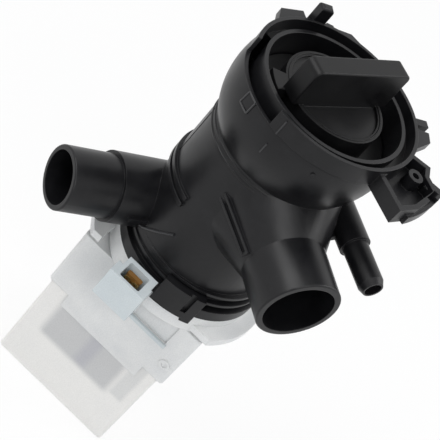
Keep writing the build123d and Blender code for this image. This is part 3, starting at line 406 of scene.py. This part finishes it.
class Finishes:
    """Every finish of the pump, each made once."""

    def __init__(self) -> None:
        """Builds the materials."""
        made = (
            Finish("black_moulding", (0.0058, 0.0058, 0.0068), (0.009, 0.009, 0.0102), 0.34,
                   specular=0.27, grain_size=0.35, grain_height=0.006, edge_radius=0.5, wear=0.2),
            Finish("black_cap", (0.004, 0.004, 0.0045), (0.0065, 0.0065, 0.007), 0.4,
                   specular=0.2, grain_size=0.3, grain_height=0.008, edge_radius=0.6, wear=0.2),
            # Lighter black with a painted highlight, for fine raised lines that would catch the light
            Finish("painted_highlight_black", (0.022, 0.022, 0.024), (0.036, 0.036, 0.038), 0.32,
                   specular=0.4, grain_size=0.3, grain_height=0.002, edge_radius=0.05),
            Finish("grey_moulding", (0.2, 0.21, 0.225), (0.25, 0.26, 0.275), 0.5, edge_radius=0.3),
            Finish("white_moulding", (0.72, 0.73, 0.735), (0.78, 0.785, 0.78), 0.38,
                   subsurface=0.15, grain_height=0.004, edge_radius=0.4),
            Finish("milky_cover", (0.93, 0.92, 0.9), (0.95, 0.938, 0.915), 0.42,
                   transmission=0.12, ior=1.3, grain_height=0.004, edge_radius=0.5,
                   # Painted shade: three soft darker rectangles on the cover, standing in for the shadow of
                   # the stator core inside
                   shadows=(
                       Shadow(-28, 15.3, 27.5, 62, 2.6, (0.68, 0.69, 0.71)),
                       Shadow(-6.5, 0.5, 29, 62, 2.6, (0.86, 0.86, 0.905)),
                       Shadow(17.3, 25, 30, 62, 1.4, (0.84, 0.85, 0.86)),
                   )),
            Finish("blue_white_moulding", (0.58, 0.635, 0.66), (0.62, 0.67, 0.69), 0.4,
                   subsurface=0.1, grain_height=0.004, edge_radius=0.35),
            Finish("dark_moulding", (0.05, 0.05, 0.055), (0.07, 0.07, 0.075), 0.45),
            Finish("brown_moulding", (0.17, 0.078, 0.014), (0.22, 0.105, 0.022), 0.42, edge_radius=0.2),
            Finish("soft_rubber", (0.02, 0.02, 0.02), (0.03, 0.03, 0.03), 0.72,
                   sheen=0.15, grain_height=0.015),
            Finish("terminal_brass", (0.5, 0.33, 0.12), (0.58, 0.41, 0.17), 0.32, metallic=1.0,
                   edge_radius=0.1, grain_height=0.003),
            Finish("ground_steel", (0.58, 0.58, 0.6), (0.66, 0.66, 0.68), 0.22, metallic=1.0,
                   pattern=Pattern.TURNED, pattern_size=0.4, pattern_height=0.002, pattern_tint=0.9,
                   edge_radius=0.15),
            Finish("core_sheets", (0.2, 0.21, 0.23), (0.27, 0.28, 0.3), 0.5, metallic=0.7,
                   pattern=Pattern.BANDS_Z, pattern_size=1.0, pattern_height=0.06, edge_radius=0.15),
            Finish("enamelled_copper", (0.45, 0.16, 0.05), (0.55, 0.22, 0.07), 0.3, metallic=0.8,
                   coat=0.5, edge_radius=0.05),
            Finish("sintered_bush", (0.26, 0.22, 0.18), (0.33, 0.28, 0.22), 0.6, metallic=0.4,
                   grain_size=0.25, grain_height=0.03, edge_radius=0.2),
            Finish("ferrite", (0.045, 0.045, 0.05), (0.07, 0.07, 0.075), 0.62,
                   grain_size=0.3, grain_height=0.03, edge_radius=0.3),
        )
        self.table = {finish.name: finish.material() for finish in made}

    def dress(self, piece: bpy.types.Object, name: str) -> None:
        """Puts one finish on every slot of a piece.

        Args:
            piece: Object to dress.
            name: Name of the finish.
        """
        if not piece.material_slots:
            piece.data.materials.append(self.table[name])
        for place in piece.material_slots:
            place.material = self.table[name]


class Bench:
    """Modelling operators, each leaving a piece at the origin with its place in its mesh.

    A button's centre is sunk by the sink share of its depth, over a slope of that share of its rim.
    """

    EDGE_STEPS = 3
    BUTTON_SIDES = 40
    SINK_SHARE = 0.2
    SECTION_SIDES = 10
    BEAD_ORDER = 3
    BEAD_STEPS = 2

    @staticmethod
    def clear() -> None:
        """Deselects everything."""
        if bpy.context.mode != "OBJECT":
            bpy.ops.object.mode_set(mode="OBJECT")
        bpy.ops.object.select_all(action="DESELECT")

    @staticmethod
    def pick(piece: bpy.types.Object) -> None:
        """Selects one piece alone and makes it the active one."""
        Bench.clear()
        piece.select_set(True)
        bpy.context.view_layer.objects.active = piece

    @staticmethod
    def close() -> None:
        """Merges doubled points of the mesh being edited, turns its faces outward and ends the editing."""
        bpy.ops.mesh.remove_doubles(threshold=MERGE_DISTANCE)
        bpy.ops.mesh.normals_make_consistent(inside=False)
        bpy.ops.object.mode_set(mode="OBJECT")

    @staticmethod
    def settle(piece: bpy.types.Object, name: str) -> bpy.types.Object:
        """Names a piece, applies its place and shades it smooth by angle."""
        Bench.pick(piece)
        bpy.ops.object.transform_apply(location=True, rotation=True, scale=True)
        bpy.ops.object.shade_smooth_by_angle(angle=math.radians(SMOOTH_ANGLE))
        piece.name = name
        piece.data.name = name
        return piece

    @staticmethod
    def block(
        name: str,
        low: Place,
        high: Place,
        bevel: float,
    ) -> bpy.types.Object:
        """Makes a block with rounded edges.

        Args:
            name: Name of the piece.
            low: Lowest corner in millimetres.
            high: Highest corner in millimetres.
            bevel: Radius of the edges in millimetres.

        Returns:
            The piece.
        """
        Bench.clear()
        middle = [(a + b) / 2 * MM for a, b in zip(low, high)]
        bpy.ops.mesh.primitive_cube_add(size=1, location=middle)
        piece = bpy.context.object
        piece.scale = [(b - a) * MM for a, b in zip(low, high)]
        bpy.ops.object.transform_apply(location=False, rotation=False, scale=True)
        bpy.ops.object.mode_set(mode="EDIT")
        bpy.ops.mesh.select_all(action="SELECT")
        bpy.ops.mesh.bevel(offset=bevel * MM, segments=Bench.EDGE_STEPS, affect="EDGES")
        bpy.ops.object.mode_set(mode="OBJECT")
        return Bench.settle(piece, name)

    @staticmethod
    def button(
        name: str,
        radius: float,
        depth: float,
        middle: Place,
        rim: float,
    ) -> bpy.types.Object:
        """Makes a round button along X with a sunk centre on both ends.

        Args:
            name: Name of the piece.
            radius: Outer radius in millimetres.
            depth: Length along its axis in millimetres.
            middle: Its centre in millimetres.
            rim: Width of the rim round the sunk centre in millimetres.

        Returns:
            The piece.
        """
        Bench.clear()
        bpy.ops.mesh.primitive_cylinder_add(
            vertices=Bench.BUTTON_SIDES,
            radius=radius * MM,
            depth=depth * MM,
            location=[v * MM for v in middle],
            rotation=(0, math.pi / 2, 0),
        )
        piece = bpy.context.object
        bpy.ops.object.mode_set(mode="EDIT")
        bpy.ops.mesh.select_all(action="DESELECT")
        bpy.ops.object.mode_set(mode="OBJECT")
        for face in piece.data.polygons:
            face.select = len(face.vertices) == Bench.BUTTON_SIDES
        bpy.ops.object.mode_set(mode="EDIT")
        bpy.ops.mesh.inset(thickness=rim * MM, depth=0)
        slope = rim * MM * Bench.SINK_SHARE
        bpy.ops.mesh.inset(thickness=slope, depth=-depth * MM * Bench.SINK_SHARE)
        bpy.ops.object.mode_set(mode="OBJECT")
        return Bench.settle(piece, name)

    @staticmethod
    def arc(
        name: str,
        radius: float,
        section: float,
        centre: Place,
        start: float,
        span: float,
        steps: int,
    ) -> bpy.types.Object:
        """Spins a round section into part of a ring.

        Args:
            name: Name of the piece.
            radius: Radius of the path in millimetres.
            section: Radius of the section in millimetres.
            centre: Centre of the ring in millimetres.
            start: First angle in degrees.
            span: Turn from the first to the last section in degrees.
            steps: Sections along the turn.

        Returns:
            The piece.
        """
        Bench.clear()
        middle = Vector(centre) * MM
        angle = math.radians(start)
        place = middle + Vector((math.cos(angle), math.sin(angle), 0)) * radius * MM
        bpy.ops.mesh.primitive_circle_add(
            vertices=Bench.SECTION_SIDES,
            radius=section * MM,
            fill_type="NGON",
            location=place,
            rotation=(math.pi / 2, 0, angle),
        )
        piece = bpy.context.object
        bpy.ops.object.transform_apply(location=True, rotation=True, scale=True)
        bpy.ops.object.mode_set(mode="EDIT")
        bpy.ops.mesh.select_all(action="SELECT")
        bpy.ops.mesh.spin(
            steps=steps, angle=math.radians(span), center=middle, axis=(0, 0, 1), use_auto_merge=False
        )
        bpy.ops.mesh.select_all(action="SELECT")
        Bench.close()
        return Bench.settle(piece, name)

    @staticmethod
    def bead(name: str, places: list[Place], section: float) -> bpy.types.Object:
        """Draws a round bead along a smooth line.

        Args:
            name: Name of the piece.
            places: Places on the line in millimetres.
            section: Radius of the bead in millimetres.

        Returns:
            The piece.
        """
        Bench.clear()
        line = bpy.data.curves.new(name, "CURVE")
        line.dimensions = "3D"
        spline = line.splines.new("NURBS")
        spline.points.add(len(places) - 1)
        for point, place in zip(spline.points, places):
            point.co = (*(v * MM for v in place), 1)
        spline.order_u = Bench.BEAD_ORDER
        spline.use_endpoint_u = True
        line.bevel_depth = section * MM
        line.bevel_resolution = Bench.BEAD_STEPS
        line.use_fill_caps = True
        piece = bpy.data.objects.new(name, line)
        bpy.context.scene.collection.objects.link(piece)
        Bench.pick(piece)
        bpy.ops.object.convert(target="MESH")
        piece = bpy.context.object
        bpy.ops.object.mode_set(mode="EDIT")
        bpy.ops.mesh.select_all(action="SELECT")
        Bench.close()
        return Bench.settle(piece, name)

    @staticmethod
    def turned(piece: bpy.types.Object, degrees: float) -> bpy.types.Object:
        """Turns a piece about the pump axis and applies the turn."""
        piece.data.transform(Matrix.Rotation(math.radians(degrees), 4, "Z"))
        return piece

    @staticmethod
    def joined(pieces: list[bpy.types.Object], name: str) -> bpy.types.Object:
        """Joins pieces of one finish into one object.

        Args:
            pieces: Pieces to join.
            name: Name of the result.

        Returns:
            The joined piece.
        """
        Bench.clear()
        for piece in pieces:
            piece.select_set(True)
        bpy.context.view_layer.objects.active = pieces[0]
        bpy.ops.object.join()
        pieces[0].name = name
        pieces[0].data.name = name
        return pieces[0]


@dataclass
class SubAssembly:
    """Part of the pump: new pieces and the solids it carries over."""

    frame: dict
    finishes: Finishes
    body: str = "housing"

    def carry(self, finish: str, *nodes: str) -> None:
        """Dresses solids of the frame.

        Args:
            finish: Name of the finish.
            nodes: Names of the solids.
        """
        for node in nodes:
            self.finishes.dress(self.frame["nodes"][node], finish)
            log.info("%s carried over in %s", node, finish)

    def room(self, node: str, turn: float = 0.0) -> tuple[Place, Place]:
        """Measures the room that a solid of the frame takes, in axes turned about the pump axis.

        Args:
            node: Name of the solid.
            turn: Turn of the axes in degrees.

        Returns:
            Its lowest and its highest corner in millimetres.
        """
        back = Matrix.Rotation(-math.radians(turn), 3, "Z")
        places = [back @ vertex.co / MM for vertex in self.frame["nodes"][node].data.vertices]
        low, high = (tuple(end(axis) for axis in zip(*places)) for end in (min, max))
        return low, high

    def add(
        self, piece: bpy.types.Object, finish: str, slot: str, body: str | None = None
    ) -> bpy.types.Object:
        """Dresses a new piece and lets it ride on its body.

        Args:
            piece: The new piece.
            finish: Name of its finish.
            slot: Material slot of the record that it belongs to; not used.
            body: Body that carries it, if not the sub-assembly's own.

        Returns:
            The piece.
        """
        self.finishes.dress(piece, finish)
        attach(piece, body or self.body)
        log.info("%s added in %s, %d faces", piece.name, finish, len(piece.data.polygons))
        return piece


@dataclass
class FilterHousing(SubAssembly):
    """Black housing with its moulded lines.

    Lengths are in millimetres and angles in degrees about the pump axis. The frame's radii are those of its
    lower and its upper side.
    """

    body_centre: tuple[float, float] = (-1.14, -1.26)
    body_radius: float = 35.0
    rim_radius: float = 42.0
    seam_width: float = 0.5
    seam_low: float = 156.0
    seam_high: float = 187.0
    seam_angles: tuple[float, ...] = (-33.0, -118.0, 118.0)
    seam_root: float = 0.4
    seam_stand: float = 0.2
    seam_bevel: float = 0.15
    bump_angles: tuple[float, ...] = (-84.5, -24.5, 115.5)
    bump_height: float = 213.7
    bump_radius: float = 1.4
    bump_depth: float = 1.6
    bump_rim: float = 0.3
    bump_inset: float = 1.4
    rib_section: float = 0.7
    rib_stand: float = 0.3
    rib_course: tuple[tuple[float, float], ...] = (
        (-93, 119.0), (-86.5, 121.3), (-79, 125.6), (-70, 131.0), (-61.5, 136.5),
    )
    line_angle: float = -56.4
    line_section: float = 0.4
    lines_on_rim: tuple[Place, ...] = ((42.15, 219.0, 227.0), (41.75, 206.5, 212.0))
    frame_angles: tuple[float, float] = (-86.5, -78.0)
    frame_heights: tuple[float, float] = (212.6, 219.2)
    frame_radii: tuple[float, float] = (42.55, 41.95)

    def build(self) -> None:
        """Dresses the housing and adds its fine moulded lines."""
        self.carry("black_moulding", "filter_housing")
        self.carry("soft_rubber", "chamber_seal")
        self.add(self.seams(), "black_moulding", "black_plastic")
        self.add(self.rim_bumps(), "black_moulding", "black_plastic")
        # The rib, rim lines and window frame take the lighter black: a painted highlight on these fine raised
        # lines
        self.add(self.body_rib(), "painted_highlight_black", "black_plastic")
        self.add(self.rim_lines(), "painted_highlight_black", "black_plastic")
        self.add(self.window_frame(), "painted_highlight_black", "black_plastic")

    def seams(self) -> bpy.types.Object:
        """Raised lines where the halves of the mould met, up the body's straight part."""
        lines = []
        half = self.seam_width / 2
        for angle in self.seam_angles:
            line = Bench.block(
                "seam",
                (self.body_radius - self.seam_root, -half, self.seam_low),
                (self.body_radius + self.seam_stand, half, self.seam_high),
                self.seam_bevel,
            )
            Bench.turned(line, angle)
            line.data.transform(Matrix.Translation(Vector((*self.body_centre, 0)) * MM))
            lines.append(line)
        return Bench.joined(lines, "mould_seams")

    def at(self, radius: float, angle: float, height: float) -> Place:
        """Place at a radius and an angle about the pump axis."""
        turn = math.radians(angle)
        return (radius * math.cos(turn), radius * math.sin(turn), height)

    def body_rib(self) -> bpy.types.Object:
        """Rib that climbs round the sump from under the outlet."""
        places = []
        for angle, height in self.rib_course:
            x, y, z = self.at(self.body_radius + self.rib_stand, angle, height)
            places.append((x + self.body_centre[0], y + self.body_centre[1], z))
        return Bench.bead("body_rib", places, self.rib_section)

    def rim_lines(self) -> bpy.types.Object:
        """Fine upright lines on the rim's wall, where the mould's sides met."""
        lines = []
        for radius, low, high in self.lines_on_rim:
            middle = (low + high) / 2
            places = [self.at(radius, self.line_angle, z) for z in (low, middle, high)]
            lines.append(Bench.bead("line", places, self.line_section))
        return Bench.joined(lines, "rim_lines")

    def window_frame(self) -> bpy.types.Object:
        """Low frame with four sides on the rim's wall."""
        low, high = self.frame_heights
        first, last = self.frame_angles
        middle_angle = (first + last) / 2
        middle_height = (low + high) / 2
        middle_radius = sum(self.frame_radii) / 2
        sides = []
        for radius, height in zip(self.frame_radii, self.frame_heights):
            places = [self.at(radius, angle, height) for angle in (first, middle_angle, last)]
            sides.append(Bench.bead("side", places, self.line_section))
        for angle in self.frame_angles:
            places = [
                self.at(self.frame_radii[0], angle, low),
                self.at(middle_radius, angle, middle_height),
                self.at(self.frame_radii[1], angle, high),
            ]
            sides.append(Bench.bead("side", places, self.line_section))
        return Bench.joined(sides, "window_frame")

    def rim_bumps(self) -> bpy.types.Object:
        """Small ejector bumps under the rim."""
        bumps = []
        middle = (self.rim_radius - self.bump_inset, 0, self.bump_height)
        for angle in self.bump_angles:
            bump = Bench.button("bump", self.bump_radius, self.bump_depth, middle, self.bump_rim)
            bumps.append(Bench.turned(bump, angle))
        return Bench.joined(bumps, "rim_bumps")


@dataclass
class FilterCap(SubAssembly):
    """Turning cap with its seal, pin and basket."""

    body: str = "cap"
    grip_rise: float = 20.0
    ring_radius: float = 23.6
    ring_section: float = 0.35
    ring_steps: int = 40
    grip_turn: float = 101.8
    grip_clearance: float = 14.0

    def build(self) -> None:
        """Dresses the cap, seal, pin and basket and adds the fine ring on the disc."""
        self.carry("black_cap", "cap_knob")
        self.carry("soft_rubber", "cap_seal")
        self.carry("ground_steel", "hub_pin")
        self.carry("grey_moulding", "strainer_basket")
        self.add(self.disc_ring(), "black_cap", "black_plastic")

    def disc_ring(self) -> bpy.types.Object:
        """Fine raised ring on the disc's border, left open at both ends of the grip."""
        _, (_, _, grip_top) = self.room("cap_knob")
        centre = (0, 0, grip_top - self.grip_rise)
        span = 180 - 2 * self.grip_clearance
        halves = []
        for turn in (0, 180):
            start = self.grip_turn + self.grip_clearance + turn
            halves.append(
                Bench.arc("half", self.ring_radius, self.ring_section, centre, start, span, self.ring_steps)
            )
        return Bench.joined(halves, "disc_ring")


@dataclass
class MotorCasing(SubAssembly):
    """White casing with its flange, cover and connector.

    Lengths are in millimetres, in the casing's own axes, turned by CASING_TURN about the pump axis.
    """

    bead_stand: float = 0.3
    bead_depth: float = 0.4
    bead_overlap: float = 0.2
    bead_drops: tuple[float, float] = (1.1, 0.3)
    bead_bevel: float = 0.25
    rib_thickness: float = 1.2
    rib_places: tuple[float, ...] = (-31.0, -12.0, 7.0, 24.0)
    rib_inset: float = 1.9
    rib_depth: float = 2.5
    rib_heights: tuple[float, float] = (2.8, 46.0)
    rib_bevel: float = 0.3

    def build(self) -> None:
        """Dresses the casing and adds its weld bead and inner ribs."""
        self.carry("white_moulding", "motor_flange", "motor_frame")
        self.carry("milky_cover", "rear_cover")
        self.carry("blue_white_moulding", "connector_shell")
        self.carry("brown_moulding", "terminal_carrier")
        self.carry("terminal_brass", "terminal_line", "terminal_neutral")
        self.add(self.weld_bead(), "white_moulding", "white_plastic")
        self.add(self.inner_ribs(), "white_moulding", "white_plastic")

    def weld_bead(self) -> bpy.types.Object:
        """Fine bead where the cover is welded to the casing."""
        (low_x, low_y, _), (high_x, high_y, split) = self.room("rear_cover", CASING_TURN)
        stand, depth, overlap = self.bead_stand, self.bead_depth, self.bead_overlap
        spans = (
            ((low_x - stand, low_y - overlap), (low_x + depth, high_y + overlap)),
            ((high_x - depth, low_y - overlap), (high_x + stand, high_y + overlap)),
            ((low_x, high_y - depth), (high_x, high_y + stand)),
        )
        bottom, top = (split - drop for drop in self.bead_drops)
        beads = []
        for low, high in spans:
            bead = Bench.block("bead", (*low, bottom), (*high, top), self.bead_bevel)
            beads.append(Bench.turned(bead, CASING_TURN))
        return Bench.joined(beads, "weld_bead")

    def inner_ribs(self) -> bpy.types.Object:
        """Stiffening ribs that stand inside the cover's wall behind the face."""
        (_, low_y, _), (_, high_y, _) = self.room("rear_cover", CASING_TURN)
        first, last = low_y + self.rib_inset, high_y - self.rib_inset
        half = self.rib_thickness / 2
        bottom, top = self.rib_heights
        ribs = []
        for place in self.rib_places:
            for near, far in ((first, first + self.rib_depth), (last - self.rib_depth, last)):
                low, high = (place - half, near, bottom), (place + half, far, top)
                rib = Bench.block("rib", low, high, self.rib_bevel)
                ribs.append(Bench.turned(rib, CASING_TURN))
        return Bench.joined(ribs, "cover_ribs")


@dataclass
class Stator(SubAssembly):
    """Laminated core, bobbins and windings inside the casing.

    Lengths are in millimetres, in the casing's own axes. The wire is given by its radius, and each coil fills
    the room of its solid.
    """

    wire: float = 0.55
    layers: int = 3
    bend: float = 3.0
    bend_steps: int = 4
    wire_share: float = 0.98
    wire_steps: int = 1

    def build(self) -> None:
        """Dresses the core and bobbins and winds both coils."""
        self.carry("core_sheets", "stator_core")
        self.carry("ground_steel", "core_rivets")
        self.carry("grey_moulding", "bobbin_front", "bobbin_back")
        self.carry("dark_moulding", "thermal_cutout")
        for node in ("coil_front", "coil_back"):
            self.finishes.dress(self.frame["nodes"][node], "enamelled_copper")
            wound = self.add(self.winding(node), "enamelled_copper", "winding_tape")
            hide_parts(node)

    def winding(self, node: str) -> bpy.types.Object:
        """Winds one coil: rounded loops of wire side by side over its bobbin.

        Args:
            node: Solid whose room the coil fills.

        Returns:
            The winding.
        """
        low, high = self.room(node, CASING_TURN)
        pitch = self.wire * 2
        turns = int((high[0] - low[0]) / pitch)
        loops = [self.loop(low, high, layer * pitch + self.wire) for layer in range(self.layers)]
        first = Bench.joined(loops, node + "_wire")
        step = first.modifiers.new("turns", "ARRAY")
        step.count = turns
        step.use_relative_offset = False
        step.use_constant_offset = True
        step.constant_offset_displace = (pitch * MM, 0, 0)
        Bench.pick(first)
        bpy.ops.object.modifier_apply(modifier=step.name)
        Bench.settle(first, node + "_wire")
        return Bench.turned(first, CASING_TURN)

    def loop(self, low: Place, high: Place, inset: float) -> bpy.types.Object:
        """Makes one rounded loop of wire in a plane across X, at the coil's first turn.

        Args:
            low: Lowest corner of the coil's room in millimetres.
            high: Highest corner of that room in millimetres.
            inset: Distance from the room's sides to the middle of the wire.

        Returns:
            The loop as a mesh.
        """
        Bench.clear()
        middle = Vector((low[0] + self.wire, (low[1] + high[1]) / 2, (low[2] + high[2]) / 2)) * MM
        half_y, half_z = ((high[axis] - low[axis]) / 2 - inset for axis in (1, 2))
        upright = (math.pi / 2, 0, math.pi / 2)
        bpy.ops.mesh.primitive_plane_add(size=2, location=middle, rotation=upright)
        piece = bpy.context.object
        piece.scale = (half_y * MM, half_z * MM, 1)
        bpy.ops.object.transform_apply(location=True, rotation=True, scale=True)
        bpy.ops.object.mode_set(mode="EDIT")
        bpy.ops.mesh.select_all(action="SELECT")
        bpy.ops.mesh.bevel(offset=self.bend * MM, segments=self.bend_steps, affect="VERTICES")
        bpy.ops.mesh.select_all(action="SELECT")
        bpy.ops.mesh.delete(type="ONLY_FACE")
        bpy.ops.object.mode_set(mode="OBJECT")
        bpy.ops.object.convert(target="CURVE")
        piece = bpy.context.object
        piece.data.bevel_depth = self.wire * self.wire_share * MM
        piece.data.bevel_resolution = self.wire_steps
        bpy.ops.object.convert(target="MESH")
        return bpy.context.object


@dataclass
class RotorAndImpeller(SubAssembly):
    """Turning parts and what carries them."""

    def build(self) -> None:
        """Dresses the rotor, its bearings and the impeller."""
        self.carry("white_moulding", "rotor_can")
        self.carry("sintered_bush", "front_bearing", "rear_bearing")
        self.carry("soft_rubber", "front_bearing_holder", "rear_bearing_holder", "impeller_damper")
        self.carry("ground_steel", "shaft", "front_thrust_washer", "rear_thrust_washer", "impeller_clip")
        self.carry("ferrite", "rotor_magnet")
        self.carry("dark_moulding", "rotor_carrier", "drive_dog")
        self.carry("grey_moulding", "impeller")


@dataclass
class Studio:
    """Floor, lights and the camera at the photograph's viewing angle.

    The eye and the focal length are in millimetres. Each lamp has its centre and its side in metres and its
    power in watts.
    """

    eye: Place = (388.05, -406.02, 580.67)
    right: Place = (0.23937, 0.81351, 0.53001)
    up: Place = (-0.80636, -0.13749, 0.57522)
    back: Place = (0.54082, -0.56507, 0.62307)
    lens: float = 127.22
    sensor: float = 36.0
    far: float = 20.0
    sky: Colour = (0.96, 0.98, 1.0)
    ambient: float = 0.42
    lamps: tuple[tuple[Place, float, float], ...] = (
        ((-0.35, -0.75, 1.15), 0.9, 9.0),
        ((0.95, -0.25, 0.95), 0.7, 5.0),
        ((0.1, 0.9, 1.0), 0.8, 5.0),
    )
    aim: Place = (0, 0, 0.12)
    floor_side: float = 6.0
    floor_grey: Colour = (0.9, 0.9, 0.9)
    floor_roughness: float = 0.9
    floor_whiteness: float = 0.88

    def build(self) -> None:
        """Sets the camera, the world, the lamps and the floor."""
        scene = bpy.context.scene
        scene.view_settings.view_transform = "Standard"
        self.camera(scene)
        self.world(scene)
        for place, size, power in self.lamps:
            self.lamp(place, size, power)
        self.floor()

    def camera(self, scene: bpy.types.Scene) -> None:
        """Puts the camera where the photograph was taken from."""
        data = bpy.data.cameras.new("camera")
        data.lens = self.lens
        data.sensor_width = self.sensor
        data.clip_end = self.far
        camera = bpy.data.objects.new("camera", data)
        scene.collection.objects.link(camera)
        turn = Matrix((self.right, self.up, self.back)).transposed().to_4x4()
        camera.matrix_world = Matrix.Translation(Vector(self.eye) * MM) @ turn
        scene.camera = camera

    def world(self, scene: bpy.types.Scene) -> None:
        """Lights the object softly and shows white to the camera and to reflections."""
        world = bpy.data.worlds.new("studio")
        world.use_nodes = True
        scene.world = world
        nodes = world.node_tree.nodes
        links = world.node_tree.links
        light = nodes["Background"]
        light.inputs["Color"].default_value = (*self.sky, 1)
        light.inputs["Strength"].default_value = self.ambient
        white = nodes.new("ShaderNodeBackground")
        white.inputs["Color"].default_value = (1, 1, 1, 1)
        white.inputs["Strength"].default_value = 1.0
        mix = nodes.new("ShaderNodeMixShader")
        links.new(self.seen(world.node_tree), mix.inputs["Fac"])
        links.new(light.outputs["Background"], mix.inputs[1])
        links.new(white.outputs["Background"], mix.inputs[2])
        links.new(mix.outputs["Shader"], nodes["World Output"].inputs["Surface"])

    def seen(self, tree: bpy.types.NodeTree) -> bpy.types.NodeSocket:
        """Adds a value that is one for what the camera, a reflection or clear plastic sees.

        Args:
            tree: Node tree that gets the nodes.

        Returns:
            The value.
        """
        path = tree.nodes.new("ShaderNodeLightPath")
        total = path.outputs["Is Camera Ray"]
        for name in ("Is Glossy Ray", "Is Transmission Ray"):
            node = tree.nodes.new("ShaderNodeMath")
            node.operation = "MAXIMUM"
            tree.links.new(total, node.inputs[0])
            tree.links.new(path.outputs[name], node.inputs[1])
            total = node.outputs["Value"]
        return total

    def lamp(self, place: Place, size: float, power: float) -> None:
        """Adds a soft square lamp that faces the pump.

        Args:
            place: Its centre in metres.
            size: Its side in metres.
            power: Its power in watts.
        """
        data = bpy.data.lights.new("softbox", "AREA")
        data.shape = "SQUARE"
        data.size = size
        data.energy = power
        lamp = bpy.data.objects.new("softbox", data)
        bpy.context.scene.collection.objects.link(lamp)
        aim = Vector(self.aim) - Vector(place)
        lamp.rotation_euler = aim.to_track_quat("-Z", "Y").to_euler()
        lamp.location = place

    def floor(self) -> None:
        """Lays a pale floor that looks white and keeps a soft shadow."""
        Bench.clear()
        bpy.ops.mesh.primitive_plane_add(size=self.floor_side)
        floor = bpy.context.object
        floor.name = "floor"
        made = bpy.data.materials.new("floor")
        made.use_nodes = True
        nodes = made.node_tree.nodes
        links = made.node_tree.links
        shader = nodes["Principled BSDF"]
        shader.inputs["Base Color"].default_value = (*self.floor_grey, 1)
        shader.inputs["Roughness"].default_value = self.floor_roughness
        white = nodes.new("ShaderNodeEmission")
        white.inputs["Color"].default_value = (1, 1, 1, 1)
        white.inputs["Strength"].default_value = 1.0
        mix = nodes.new("ShaderNodeMixShader")
        part = nodes.new("ShaderNodeMath")
        part.operation = "MULTIPLY"
        part.inputs[1].default_value = self.floor_whiteness
        links.new(self.seen(made.node_tree), part.inputs[0])
        links.new(part.outputs["Value"], mix.inputs["Fac"])
        links.new(shader.outputs["BSDF"], mix.inputs[1])
        links.new(white.outputs["Emission"], mix.inputs[2])
        links.new(mix.outputs["Shader"], nodes["Material Output"].inputs["Surface"])
        floor.data.materials.append(made)


def main() -> None:
    """Builds the pump's sub-assemblies and the studio, in order."""
    logging.basicConfig(level=logging.INFO, format="%(message)s")
    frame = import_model()
    finishes = Finishes()
    Studio().build()
    kinds: tuple[type[SubAssembly], ...] = (FilterHousing, FilterCap, MotorCasing, Stator, RotorAndImpeller)
    for kind in kinds:
        kind(frame, finishes).build()
        log.info("%s finished", kind.__name__)


if __name__ == "__main__":
    main()
